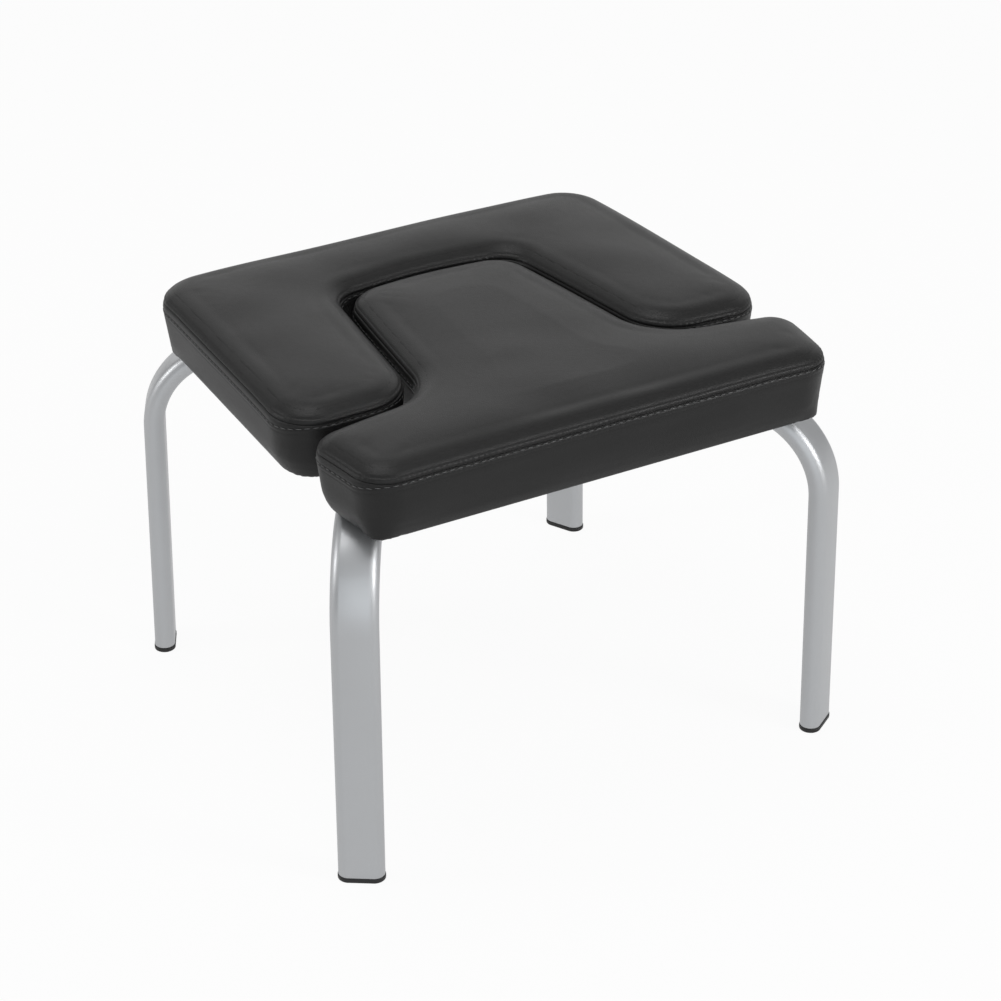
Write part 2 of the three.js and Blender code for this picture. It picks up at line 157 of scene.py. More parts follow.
def closed_ring(shape: Shape, places: Iterable[Sequence[float]]) -> Ring:
    """Adds a closed loop of vertices and edges.

    Args:
        shape: the bmesh.
        places: the loop's corners in order.

    Returns:
        Its vertices in order.
    """
    ring = [shape.verts.new(place) for place in places]
    for index, vertex in enumerate(ring):
        shape.edges.new((vertex, ring[(index + 1) % len(ring)]))
    return ring


def grow(shape: Shape, ring: Ring, places: Sequence[Sequence[float]]) -> Ring:
    """Extrudes a closed loop to new places.

    Args:
        shape: the bmesh.
        ring: the loop's vertices in order.
        places: where each of them goes.

    Returns:
        The new loop's vertices, in the same order.
    """
    count = len(ring)
    edges = [shape.edges.get((ring[i], ring[(i + 1) % count])) for i in range(count)]
    fresh = set(fresh_vertices(bmesh.ops.extrude_edge_only(shape, edges=edges)["geom"]))
    grown = []
    for vertex, place in zip(ring, places):
        partner = next(e.other_vert(vertex) for e in vertex.link_edges if e.other_vert(vertex) in fresh)
        partner.co = place
        grown.append(partner)
    return grown


def stacked(levels: Sequence[Sequence[Sequence[float]]]) -> Shape:
    """Lofts a closed form through loops with as many corners each.

    Args:
        levels: the loops, from the lowest up.

    Returns:
        The form, flat below and on top.
    """
    shape = bmesh.new()
    ring = closed_ring(shape, levels[0])
    shape.faces.new(list(reversed(ring)))
    for places in levels[1:]:
        ring = grow(shape, ring, places)
    shape.faces.new(ring)
    bmesh.ops.recalc_face_normals(shape, faces=shape.faces[:])
    shape.normal_update()
    bmesh.ops.triangulate(shape, faces=[face for face in shape.faces if len(face.verts) > 4])
    return shape


def level_ring(outline: Rows, height: float) -> Rows:
    """Returns an outline in plan as rows of x, y and z at one height."""
    return np.column_stack([outline, np.full(len(outline), height)])


# Outlines of the pads in plan


@dataclass(frozen=True)
class Corner:
    """A corner of a pad's seam in plan, and the radius that rounds it."""

    x: float
    y: float
    radius: float

    def mirrored(self) -> "Corner":
        """Returns the same corner on the other side of the stool."""
        return Corner(-self.x, self.y, self.radius)


@dataclass(frozen=True)
class CornerFrame:
    """The inward normal of the edge into a corner, the turn there and the mitre of a unit inset."""

    incoming: Rows
    turn: float
    mitre: Rows

    @classmethod
    def of(cls, corners: Sequence[Corner], index: int) -> "CornerFrame":
        """Measures one corner.

        Args:
            corners: a counter-clockwise polygon.
            index: which of its corners.

        Returns:
            What was measured there.
        """
        here, before, after = (
            np.array([corners[i % len(corners)].x, corners[i % len(corners)].y])
            for i in (index, index - 1, index + 1)
        )
        came = (here - before) / np.linalg.norm(here - before)
        goes = (after - here) / np.linalg.norm(after - here)
        incoming = np.array([-came[1], came[0]])
        outgoing = np.array([-goes[1], goes[0]])
        turn = math.atan2(came[0] * goes[1] - came[1] * goes[0], float(came @ goes))
        return cls(incoming, turn, (incoming + outgoing) / (1 + float(incoming @ outgoing)))


def inset_corner(corners: Sequence[Corner], corner: Corner, inset: float) -> Corner:
    """Moves one corner of a polygon inwards.

    Args:
        corners: the polygon, counter-clockwise.
        corner: the one that moves.
        inset: how far inwards its edges move.

    Returns:
        The corner there, with the radius that keeps its arc parallel.
    """
    measured = CornerFrame.of(corners, corners.index(corner))
    x, y = np.array([corner.x, corner.y]) + measured.mitre * inset
    return Corner(float(x), float(y), corner.radius - math.copysign(inset, measured.turn))


SMALLEST_RADIUS = 1.5 * MM
ARC_STEP = math.radians(5)


def rounded(corners: Sequence[Corner], inset: float = 0.0, step: float = ARC_STEP) -> Rows:
    """Rounds a counter-clockwise polygon moved inwards.

    Args:
        corners: the polygon.
        inset: how far inwards it moves.
        step: the turn between two points of an arc.

    Returns:
        The outline's points, as many whatever the inset.
    """
    points: list[Rows] = []
    for index, corner in enumerate(corners):
        measured = CornerFrame.of(corners, index)
        side = math.copysign(1, measured.turn)
        radius = max(corner.radius - side * inset, SMALLEST_RADIUS)
        centre = np.array([corner.x, corner.y]) + measured.mitre * (inset + side * radius)
        steps = max(1, round(abs(measured.turn) / step))
        for k in range(steps + 1):
            angle = measured.turn * k / steps
            turned = np.array([
                measured.incoming[0] * math.cos(angle) - measured.incoming[1] * math.sin(angle),
                measured.incoming[0] * math.sin(angle) + measured.incoming[1] * math.cos(angle),
            ])
            points.append(centre - side * radius * turned)
    return np.array(points)


@dataclass(frozen=True)
class SeatPlan:
    """The two pads' seams in plan. Widths and radii are the stool's own, the rest comes from the frame."""

    crossbar_front_width: float = 398 * MM
    crossbar_back_width: float = 421 * MM
    crossbar_depth: float = 84 * MM
    crossbar_shoulder: float = 15.5 * MM
    crossbar_front_radius: float = 30 * MM
    crossbar_back_radius: float = 23 * MM
    tongue_root_width: float = 197 * MM
    tongue_waist_width: float = 169.5 * MM
    tongue_waist_share: float = 0.6
    tongue_tip_width: float = 149.5 * MM
    tongue_bow: float = 9 * MM
    tongue_root_radius: float = 50 * MM
    tongue_waist_radius: float = 250 * MM
    tongue_tip_radius: float = 35 * MM
    tongue_bow_radius: float = 300 * MM
    arms_width: float = 425 * MM
    back_width: float = 400 * MM
    back_depth: float = 80.5 * MM
    groove: float = 7 * MM
    arm_outer_radius: float = 36 * MM
    arm_inner_radius: float = 45 * MM
    back_radius: float = 37 * MM

    def tongue(self) -> tuple[Corner, Corner, Corner, Corner]:
        """Works out the tongue.

        Returns:
            Its root, waist and tip corner on the right, and the middle of its tip.
        """
        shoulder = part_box("front_pad_top_cover")[0].y + self.crossbar_depth + self.crossbar_shoulder
        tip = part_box("rear_pad_top_cover")[1].y - self.back_depth - self.groove
        end = tip - self.tongue_bow
        waist = shoulder + (end - shoulder) * self.tongue_waist_share
        return (
            Corner(self.tongue_root_width / 2, shoulder, self.tongue_root_radius),
            Corner(self.tongue_waist_width / 2, waist, self.tongue_waist_radius),
            Corner(self.tongue_tip_width / 2, end, self.tongue_tip_radius),
            Corner(0.0, tip, self.tongue_bow_radius),
        )

    def front_pad(self) -> list[Corner]:
        """Works out the T.

        Returns:
            Its corners, counter-clockwise from the front right.
        """
        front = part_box("front_pad_top_cover")[0].y
        root, waist, tip, middle = self.tongue()
        half = [
            Corner(self.crossbar_front_width / 2, front, self.crossbar_front_radius),
            Corner(self.crossbar_back_width / 2, front + self.crossbar_depth, self.crossbar_back_radius),
            root,
            waist,
            tip,
        ]
        return [*half, middle, *(corner.mirrored() for corner in reversed(half))]

    def rear_pad(self) -> list[Corner]:
        """Works out the U, whose opening follows the tongue at the groove's width.

        Returns:
            Its corners, counter-clockwise from the right arm's front.
        """
        low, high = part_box("rear_pad_top_cover")
        front_pad = self.front_pad()
        root, waist, tip, middle = (inset_corner(front_pad, c, -self.groove) for c in self.tongue())
        slope = (waist.x - root.x) / (waist.y - root.y)
        inner = Corner(root.x + slope * (low.y - root.y), low.y, self.arm_inner_radius)
        outer = [
            Corner(self.arms_width / 2, low.y, self.arm_outer_radius),
            Corner(self.back_width / 2, high.y, self.back_radius),
        ]
        opening = [inner, waist, tip]
        return [
            *outer,
            *(corner.mirrored() for corner in reversed(outer)),
            *(corner.mirrored() for corner in opening),
            middle,
            *reversed(opening),
        ]


class SeamLine:
    """A pad's seam in plan: a closed line of close points, with the inward direction at each."""

    spacing = 1 * MM
    far_off = 3 * MM

    def __init__(self, corners: Sequence[Corner]) -> None:
        """Samples the seam evenly.

        Args:
            corners: the seam's corners in plan.
        """
        outline = rounded(corners)
        around = np.vstack([outline, outline[:1]])
        arc = arc_of(around)
        self.length = float(arc[-1])
        self.arc = self.evenly(self.spacing)
        self.points = resampled(around, arc, self.arc)
        along = np.roll(self.points, -2, 0) - np.roll(self.points, 2, 0)
        along /= np.linalg.norm(along, axis=1)[:, None]
        self.inward = np.stack([-along[:, 1], along[:, 0]], 1)

    def evenly(self, pitch: float) -> Rows:
        """Returns even distances along the seam, as near to a pitch as fit."""
        return np.linspace(0, self.length, round(self.length / pitch), endpoint=False)

    def at(self, arc: Rows) -> tuple[Rows, Rows]:
        """Returns the points and the inward directions at distances along the seam."""
        points, inward = (resampled(rows, self.arc, arc, self.length) for rows in (self.points, self.inward))
        return points, inward / np.linalg.norm(inward, axis=1)[:, None]

    def locate(self, places: Rows, batch: int = 2000) -> tuple[Rows, Rows, Rows]:
        """Finds the seam's nearest point for each place in plan.

        Args:
            places: rows of x and y.
            batch: how many places are compared with the whole seam at once.

        Returns:
            The distance along the seam, the depth inwards of it, negative outside, and the
            direction in which the depth is measured.
        """
        arcs, depths, directions = np.zeros(len(places)), np.zeros(len(places)), np.zeros((len(places), 2))
        for start in range(0, len(places), batch):
            rows = slice(start, start + batch)
            some = places[rows]
            nearest = ((some[:, None, :] - self.points[None]) ** 2).sum(2).argmin(1)
            inward = self.inward[nearest]
            offset = some - self.points[nearest]
            slide = offset[:, 0] * inward[:, 1] - offset[:, 1] * inward[:, 0]
            arcs[rows] = self.arc[nearest] + np.clip(slide, -self.spacing / 2, self.spacing / 2)
            depth = (offset * inward).sum(1)
            far = np.linalg.norm(offset, axis=1)
            side = np.where(depth < 0, -1, 1)
            distant = far > self.far_off
            depths[rows] = np.where(distant, side * far, depth)
            straight = offset * (side / np.maximum(far, self.spacing))[:, None]
            directions[rows] = np.where(distant[:, None], straight, inward)
        return arcs % self.length, depths, directions


# The section of a pad, from under the board to the middle of its top


@dataclass(frozen=True)
class PadHeights:
    """The heights of a pad, from the frame."""

    base: float
    seam: float
    crown: float

    @classmethod
    def of(cls, pad: str) -> "PadHeights":
        """Reads one pad's heights."""
        low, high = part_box(f"{pad}_top_cover")
        return cls(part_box(f"{pad}_side_band")[0].z, low.z, high.z)


@dataclass(frozen=True)
class Section:
    """A pad's outer skin as depths inwards of the seam and heights, with the folded edge below.

    At its outer sides the cover is drawn a little farther under the board, and at the outer corners away
    from the groove it stays fuller. Along the groove, which lies behind the pad for a groove_side of 1 and
    before it for -1, the band is steeper. The crown's first rows are in millimetres. The band's shares are
    the depth as a part of band_inset and the drop below the seam as a part of the band's height.
    """

    heights: PadHeights
    crown_reach: float = 32 * MM
    crown_power: float = 2.9
    crown_rows: tuple[float, float, float] = (0.35, 0.9, 1.7)
    crown_from: float = 3 * MM
    crown_steps: int = 24
    band_inset: float = 8 * MM
    underfold: float = 12 * MM
    fold_ease: tuple[float, float] = (1 * MM, 2 * MM)
    recess: float = 1.1 * MM
    middle: float = 75 * MM
    side_draw: float = 2.0 * MM
    side_power: int = 6
    corner_fill: float = 5.0 * MM
    draw_height: float = 22 * MM
    outer_from: float = 140 * MM
    outer_over: float = 40 * MM
    groove_side: float = 1.0
    groove_fill: float = 5.0 * MM
    groove_faces: tuple[float, float] = (-0.6, -0.1)
    line_step: float = 0.4 * MM
    band_shares: tuple[tuple[float, float], ...] = (
        (0.0, 0.04), (-0.05, 0.12), (-0.03, 0.22), (0.07, 0.36), (0.2, 0.54), (0.38, 0.72),
        (0.58, 0.85), (0.8, 0.94), (0.93, 0.985), (1.0, 1.0),
    )

    def crown_at(self, depth: Rows) -> Rows:
        """Works out the crown.

        Args:
            depth: depths inwards of the seam.

        Returns:
            The top's height at each of them.
        """
        share = np.clip(depth / self.crown_reach, 0, 1)
        rise = 1 - (1 - share) ** self.crown_power
        return self.heights.seam + (self.heights.crown - self.heights.seam) * rise

    def drawn_in(self, points: Rows, inward: Rows, height: Rows | float, depth: Rows | float) -> Rows:
        """Works out how much deeper the skin lies than the plain section.

        Args:
            points: the nearest places on the seam.
            inward: the direction into the pad at each of them.
            height: the heights on the skin.
            depth: the depths inwards of the seam.

        Returns:
            The extra depths, below zero where the skin stands farther out.
        """
        seam, base = self.heights.seam, self.heights.base
        share = np.clip(1 - (height - base) / self.draw_height, 0, 1)
        outer = smooth_step(np.abs(points[:, 0]), self.outer_from, self.outer_from + self.outer_over)
        corner = np.where(inward[:, 1] * self.groove_side > 0, (2 * inward[:, 0] * inward[:, 1]) ** 2, 0)
        sides = self.side_draw * inward[:, 0] ** self.side_power - self.corner_fill * corner
        insets, drops = np.array(self.band_shares).T
        leaning = np.interp(np.clip((seam - height) / (seam - base), 0, 1), drops, np.clip(insets, 0, 1))
        along_groove = smooth_step(-inward[:, 1] * self.groove_side, *self.groove_faces) * (1 - outer)
        start, end = self.fold_ease
        under = smooth_step(depth, self.band_inset + start, self.band_inset + self.underfold - end)
        return sides * share ** 2 * outer - self.groove_fill * leaning * along_groove * (1 - under)

    def line(self) -> Rows:
        """Draws the section.

        Returns:
            Close rows of depth and height, from the middle below to the middle on top.
        """
        base, seam = self.heights.base, self.heights.seam
        fold = self.band_inset + self.underfold
        step, _ = self.fold_ease
        below = [(self.middle, base + self.recess), (fold + step, base + self.recess), (fold, base),
                 (self.band_inset + step, base)]
        band = [(self.band_inset * inset, seam - (seam - base) * drop)
                for inset, drop in reversed(self.band_shares)]
        slope = np.linspace(self.crown_from, self.crown_reach, self.crown_steps)
        reach = np.concatenate([np.array(self.crown_rows) * MM, slope, [self.middle]])
        top = list(zip(reach, self.crown_at(reach)))
        rough = np.array([*below, *band, *top])
        arc = arc_of(rough)
        return resampled(rough, arc, np.arange(0, arc[-1], self.line_step))


class Skin:
    """A section with its arc length: a place on the skin is named by its distance from the seam's edge."""

    def __init__(self, section: Section) -> None:
        """Measures a section, with zero at the seam's edge and the top side positive.

        Args:
            section: the section.
        """
        self.section = section
        self.line = section.line()
        arc = arc_of(self.line)
        on_top = self.line[:, 1] >= section.heights.seam
        self.arc = arc - arc[np.argmax(on_top)]
        along = np.gradient(self.line, self.arc, axis=0)
        self.outward = np.stack([-along[:, 1], along[:, 0]], 1)
        self.outward /= np.linalg.norm(self.outward, axis=1)[:, None]

    def at(self, arc: Rows, lift: Rows | float = 0.0) -> tuple[Rows, Rows]:
        """Finds places on the skin, or lifted off it.

        Args:
            arc: distances from the seam's edge, positive on top.
            lift: how far outwards of the skin.

        Returns:
            The depths inwards of the seam, and the heights.
        """
        depth, height = resampled(self.line, self.arc, arc).T
        outward = self.normals(arc)
        return depth + lift * outward[:, 0], height + lift * outward[:, 1]

    def normals(self, arc: Rows) -> Rows:
        """Returns the outward normal at distances from the seam's edge, as depth and height."""
        return resampled(self.outward, self.arc, arc)

    def project(self, depth: Rows, height: Rows, batch: int = 4000) -> Rows:
        """Finds the skin's nearest point for each depth and height.

        Args:
            depth: depths inwards of the seam.
            height: heights.
            batch: how many are compared with the whole section at once.

        Returns:
            The distances from the seam's edge.
        """
        found = np.zeros(len(depth))
        places = np.stack([np.minimum(depth, self.section.middle), height], 1)
        for start in range(0, len(places), batch):
            some = places[start:start + batch]
            nearest = ((some[:, None, :] - self.line[None]) ** 2).sum(2).argmin(1)
            found[start:start + batch] = self.arc[nearest]
        return found


# Shader nodes


Node = bpy.types.Node
Sockets = dict[str, Socket]


class Graph:
    """A node tree that is built by short calls."""

    def __init__(self, tree: bpy.types.NodeTree) -> None:
        """Wraps a node tree."""
        self.tree = tree

    @classmethod
    def emptied(cls, owner: bpy.types.Material | bpy.types.World) -> "Graph":
        """Switches the nodes of a material or a world on, and empties them.

        Args:
            owner: the material or world.

        Returns:
            Its node tree, by short calls.
        """
        owner.use_nodes = True
        owner.node_tree.nodes.clear()
        return cls(owner.node_tree)

    def add(self, kind: str, inputs: dict | None = None, **settings: object) -> Node:
        """Adds a node.

        Args:
            kind: the node's type, without ShaderNode.
            inputs: a value, or another node's output, for each named or numbered input.
            settings: the node's own properties.

        Returns:
            The node.
        """
        node = self.tree.nodes.new(f"ShaderNode{kind}")
        for name, value in settings.items():
            setattr(node, name, value)
        self.feed(node, inputs or {})
        return node

    def feed(self, node: Node, inputs: dict) -> None:
        """Gives inputs of a node their values.

        Args:
            node: the node.
            inputs: a value, or another node's output, for each named or numbered input.
        """
        for name, value in inputs.items():
            if isinstance(value, Socket):
                self.tree.links.new(value, node.inputs[name])
            else:
                node.inputs[name].default_value = value

    def place(self) -> Socket:
        """Returns the place on the piece, in metres."""
        return self.add("TexCoord").outputs["Object"]

    def noise(self, place: Socket, scale: object, detail: float) -> Node:
        """Adds a noise and returns its node."""
        return self.add("TexNoise", {"Vector": place, "Scale": scale, "Detail": detail})

    def math(self, operation: str, *values: object) -> Socket:
        """Adds a Math node and returns its result."""
        return self.add("Math", dict(enumerate(values)), operation=operation).outputs[0]

    def mix_colour(self, share: object, low: object, high: object) -> Socket:
        """Mixes two colours by a share, and returns the result."""
        return self.add("Mix", {0: share, 6: low, 7: high}, data_type="RGBA").outputs[2]

    def spread(self, value: object, low: float, high: float) -> Socket:
        """Maps a value from 0 to 1 onto a range, and returns the result."""
        return self.add("MapRange", {"Value": value, "To Min": low, "To Max": high}).outputs["Result"]


class Effect:
    """A shader effect that several finishes use, kept as one node group with named inputs and outputs."""

    name = "effect"
    inputs: dict[str, float] = {}
    outputs: tuple[str, ...] = ()

    def group(self) -> bpy.types.NodeTree:
        """Builds the group the first time that it is asked for.

        Returns:
            The group.
        """
        found = bpy.data.node_groups.get(self.name)
        if found:
            return found
        tree = bpy.data.node_groups.new(self.name, "ShaderNodeTree")
        for name, value in self.inputs.items():
            socket = tree.interface.new_socket(name, in_out="INPUT", socket_type="NodeSocketFloat")
            socket.default_value = value
        for name in self.outputs:
            tree.interface.new_socket(name, in_out="OUTPUT", socket_type="NodeSocketFloat")
        graph = Graph(tree)
        entry = tree.nodes.new("NodeGroupInput")
        leave = tree.nodes.new("NodeGroupOutput")
        graph.feed(leave, self.build(graph, {name: entry.outputs[name] for name in self.inputs}))
        return tree

    def build(self, graph: Graph, given: Sockets) -> Sockets:
        """Makes the effect's nodes.

        Args:
            graph: the group's nodes.
            given: the group's inputs.

        Returns:
            The group's outputs.
        """
        raise NotImplementedError

    def use(self, graph: Graph, **values: object) -> Node:
        """Places the group in a material's nodes with its own values."""
        return graph.add("Group", {k.replace("_", " "): v for k, v in values.items()}, node_tree=self.group())


class Grain(Effect):
    """Pebbled grain of leatherette: rounded cells with fine creases between them."""

    name = "pebbled_grain"
    inputs = {"Cells per metre": 800.0, "Crease": 0.5}
    outputs = ("Height", "Crease mask")
    warp_scale, warp_reach = 260.0, 0.0011
    crease_width = 0.32
    pore_scale, pore_share = 2600.0, 0.25

    def build(self, graph: Graph, given: Sockets) -> Sockets:
        """Makes cells, warps them a little and joins the creases and pores.

        Args:
            graph: the group's nodes.
            given: the cells' number and how deep their creases are.

        Returns:
            The height and the mask of the creases.
        """
        place = graph.place()
        warp = graph.noise(place, self.warp_scale, 2.0).outputs["Color"]
        bend = graph.add("VectorMath", {0: warp, 1: (self.warp_reach,) * 3}, operation="MULTIPLY").outputs[0]
        moved = graph.add("VectorMath", {0: place, 1: bend}, operation="ADD").outputs[0]
        cells = graph.add("TexVoronoi", {"Vector": moved, "Scale": given["Cells per metre"]},
                          feature="DISTANCE_TO_EDGE").outputs["Distance"]
        dome = graph.add("MapRange", {"Value": cells, "From Max": self.crease_width},
                         interpolation_type="SMOOTHSTEP").outputs["Result"]
        pores = graph.noise(place, self.pore_scale, 2.0).outputs["Fac"]
        pores = graph.math("MULTIPLY", pores, self.pore_share)
        crease = graph.math("MULTIPLY", graph.math("SUBTRACT", 1.0, dome), given["Crease"])
        return {"Height": graph.math("ADD", dome, pores), "Crease mask": crease}


class Mottle(Effect):
    """Broad and fine unevenness of a surface, such as handling, dust and batch."""

    name = "mottle"
    inputs = {"Broad": 14.0, "Fine": 220.0}
    outputs = ("Broad share", "Fine share")
    details = {"Broad": 3.0, "Fine": 4.0}

    def build(self, graph: Graph, given: Sockets) -> Sockets:
        """Makes two noises."""
        place = graph.place()
        return {f"{k} share": graph.noise(place, given[k], v).outputs["Fac"] for k, v in self.details.items()}


class Streaks(Effect):
    """Fine drawn lines along the height, as on a polished tube."""

    name = "drawn_streaks"
    inputs = {"Across": 1400.0, "Along": 22.0}
    outputs = ("Height",)

    def build(self, graph: Graph, given: Sockets) -> Sockets:
        """Stretches a noise along Z.

        Args:
            graph: the group's nodes.
            given: how fine the lines are across, and how long along.

        Returns:
            The height.
        """
        place = graph.add("SeparateXYZ", {0: graph.place()}).outputs
        scales = (given["Across"], given["Across"], given["Along"])
        joined = graph.add("CombineXYZ", {k: graph.math("MULTIPLY", place[k], scales[k]) for k in range(3)})
        return {"Height": graph.noise(joined.outputs[0], 1.0, 3.0).outputs["Fac"]}


class Weave(Effect):
    """Crossed threads of a cloth, seen from above."""

    name = "weave"
    inputs = {"Threads per metre": 1500.0}
    outputs = ("Height",)

    def build(self, graph: Graph, given: Sockets) -> Sockets:
        """Crosses two waves.

        Args:
            graph: the group's nodes.
            given: the threads' number.

        Returns:
            The height.
        """
        place = graph.add("SeparateXYZ", {0: graph.place()}).outputs
        turns = graph.math("MULTIPLY", given["Threads per metre"], math.tau)
        waves = [graph.math("SINE", graph.math("MULTIPLY", place[k], turns)) for k in range(2)]
        return {"Height": graph.math("MULTIPLY", *waves)}


# Finishes


def grey(value: float, warm: float = 0.0) -> Colour:
    """Returns a grey, a little warm or cool."""
    return (value * (1 + warm), value, value * (1 - warm), 1.0)


@dataclass(frozen=True)
class Finish:
    """A material that is built once and shared by the pieces of its kind.

    Its colour wanders between colour and other by the mottle's share that clouds names, and its
    roughness within dullness. What is the same all over the surface is in fixed.
    """

    name: str
    colour: Colour
    other: Colour
    relief: float
    broad: float = 14.0
    fine: float = 220.0
    dullness: tuple[float, float] | None = None
    fixed: tuple[tuple[str, float], ...] = ()
    clouds: str = "Broad share"

    def material(self) -> bpy.types.Material:
        """Builds the material the first time that it is asked for.

        Returns:
            The material.
        """
        name = f"{self.name}_finish"
        found = bpy.data.materials.get(name)
        if found:
            return found
        made = bpy.data.materials.new(name)
        graph = Graph.emptied(made)
        shader = graph.add("BsdfPrincipled", dict(self.fixed))
        graph.add("OutputMaterial", {"Surface": shader.outputs["BSDF"]})
        self.dress(graph, shader)
        return made

    def dress(self, graph: Graph, shader: Node) -> None:
        """Clouds the colour and the gloss, and gives the surface its relief.

        Args:
            graph: the material's nodes.
            shader: the Principled shader.
        """
        mottle = Mottle().use(graph, Broad=self.broad, Fine=self.fine).outputs
        height, wear = self.texture(graph, mottle)
        colour = graph.mix_colour(mottle[self.clouds], self.colour, self.other)
        graph.feed(shader, {"Base Color": colour, "Normal": self.bump(graph, height)})
        if self.dullness:
            graph.feed(shader, {"Roughness": graph.spread(wear, *self.dullness)})

    def texture(self, graph: Graph, mottle: Sockets) -> tuple[Socket, Socket]:
        """Returns the height of the relief, and what the roughness follows."""
        return mottle["Fine share"], mottle["Fine share"]

    def bump(self, graph: Graph, height: Socket) -> Socket:
        """Returns the normal of a relief, whose depth is in metres."""
        made = graph.add("Bump", {"Height": height, "Distance": self.relief, "Strength": 1.0})
        return made.outputs["Normal"]

    def paint(self, piece: Piece) -> Piece:
        """Gives a piece this finish, in every slot that it has.

        Args:
            piece: the piece.

        Returns:
            The piece.
        """
        slots = max(len(piece.data.materials), 1)
        piece.data.materials.clear()
        for _ in range(slots):
            piece.data.materials.append(self.material())
        return piece


@dataclass(frozen=True)
class Leatherette(Finish):
    """Black upholstery leatherette: pebbled, softly glossy, a little greyer in broad random patches."""

    name: str = "leatherette"
    colour: Colour = grey(0.009, 0.01)
    other: Colour = grey(0.013, 0.012)
    broad: float = 11.0
    fine: float = 240.0
    relief: float = 0.06 * MM
    dullness: tuple[float, float] = (0.36, 0.47)
    fixed: tuple[tuple[str, float], ...] = (("Specular IOR Level", 0.285),)
    cells: float = 760.0
    handled: float = 0.5
    creased: float = 0.8

    def texture(self, graph: Graph, mottle: Sockets) -> tuple[Socket, Socket]:
        """Makes the grain, which is duller in its creases.

        Args:
            graph: the material's nodes.
            mottle: the broad and the fine unevenness.

        Returns:
            The height of the relief, and what the roughness follows.
        """
        grain = Grain().use(graph, Cells_per_metre=self.cells).outputs
        handled = graph.math("MULTIPLY", mottle["Fine share"], self.handled)
        creased = graph.math("MULTIPLY", grain["Crease mask"], self.creased)
        return grain["Height"], graph.math("ADD", handled, creased)


@dataclass(frozen=True)
class Thread(Finish):
    """Dark polyester sewing thread."""

    name: str = "sewing_thread"
    colour: Colour = grey(0.12)
    other: Colour = grey(0.05)
    broad: float = 300.0
    fine: float = 3000.0
    relief: float = 0.05 * MM
    fixed: tuple[tuple[str, float], ...] = (("Roughness", 0.45),)


@dataclass(frozen=True)
class SatinSteel(Finish):
    """Satin zinc plating of the legs, with drawn streaks and faint clouding."""

    name: str = "satin_steel"
    colour: Colour = (0.56, 0.572, 0.588, 1.0)
    other: Colour = (0.52, 0.528, 0.538, 1.0)
    broad: float = 9.0
    fine: float = 90.0
    relief: float = 0.008 * MM
    dullness: tuple[float, float] = (0.42, 0.50)
    fixed: tuple[tuple[str, float], ...] = (
        ("Metallic", 0.92), ("Coat Weight", 0.35), ("Coat Roughness", 0.12),
    )

    def texture(self, graph: Graph, mottle: Sockets) -> tuple[Socket, Socket]:
        """Returns the streaks as the relief, and the fine clouding of the gloss."""
        return Streaks().use(graph).outputs["Height"], mottle["Fine share"]


@dataclass(frozen=True)
class BrightZinc(Finish):
    """Bright zinc of bolts, washers, pegs and the rest plate."""

    name: str = "bright_zinc"
    colour: Colour = (0.66, 0.665, 0.67, 1.0)
    other: Colour = (0.56, 0.57, 0.56, 1.0)
    broad: float = 60.0
    fine: float = 900.0
    relief: float = 0.01 * MM
    dullness: tuple[float, float] = (0.2, 0.42)
    fixed: tuple[tuple[str, float], ...] = (("Metallic", 1.0),)


@dataclass(frozen=True)
class MouldedPlastic(Finish):
    """Black moulded plastic of caps and plugs, with scuffs and a fine spark-eroded texture."""

    name: str = "moulded_plastic"
    colour: Colour = grey(0.006)
    other: Colour = grey(0.01)
    broad: float = 80.0
    fine: float = 1800.0
    relief: float = 0.03 * MM
    dullness: tuple[float, float] = (0.38, 0.56)

    def texture(self, graph: Graph, mottle: Sockets) -> tuple[Socket, Socket]:
        """Returns the fine unevenness as the relief, and the broad one for the gloss."""
        return mottle["Fine share"], mottle["Broad share"]


@dataclass(frozen=True)
class DustCloth(Finish):
    """Thin black cloth that closes a pad from below."""

    name: str = "dust_cloth"
    colour: Colour = grey(0.018)
    other: Colour = grey(0.045)
    broad: float = 40.0
    fine: float = 1400.0
    relief: float = 0.12 * MM
    fixed: tuple[tuple[str, float], ...] = (("Roughness", 0.92), ("Sheen Weight", 0.25))
    clouds: str = "Fine share"
    threads: float = 900.0

    def texture(self, graph: Graph, mottle: Sockets) -> tuple[Socket, Socket]:
        """Returns the weave as the relief."""
        return Weave().use(graph, Threads_per_metre=self.threads).outputs["Height"], mottle["Fine share"]


@dataclass(frozen=True)
class Plywood(Finish):
    """Rotary-cut plywood: grain along X, and plies seen at the edges."""

    name: str = "plywood"
    colour: Colour = (0.62, 0.43, 0.24, 1.0)
    other: Colour = (0.40, 0.25, 0.12, 1.0)
    relief: float = 0.08 * MM
    fixed: tuple[tuple[str, float], ...] = (("Roughness", 0.7),)
    figure: tuple[float, float, float] = (18.0, 260.0, 60.0)
    figure_share: float = 0.8
    plies: float = 430.0
    ply_share: float = 0.12

    def dress(self, graph: Graph, shader: Node) -> None:
        """Joins the grain and the plies.

        Args:
            graph: the material's nodes.
            shader: the Principled shader.
        """
        place = graph.place()
        grain = graph.add("Mapping", {"Vector": place, "Scale": self.figure}).outputs[0]
        figure = graph.noise(grain, 1.0, 5.0).outputs["Fac"]
        height = graph.add("SeparateXYZ", {0: place}).outputs[2]
        ply = graph.math("SINE", graph.math("MULTIPLY", height, self.plies * math.tau))
        figured = graph.math("MULTIPLY", figure, self.figure_share)
        share = graph.math("ADD", figured, graph.math("MULTIPLY", ply, self.ply_share))
        colour = graph.mix_colour(share, self.colour, self.other)
        graph.feed(shader, {"Base Color": colour, "Normal": self.bump(graph, figure)})


# Pads


class Body(Enum):
    """The bodies of the frame: what stands, and what lifts off."""

    STOOL = "stool"
    FRONT_PAD = "front_pad"


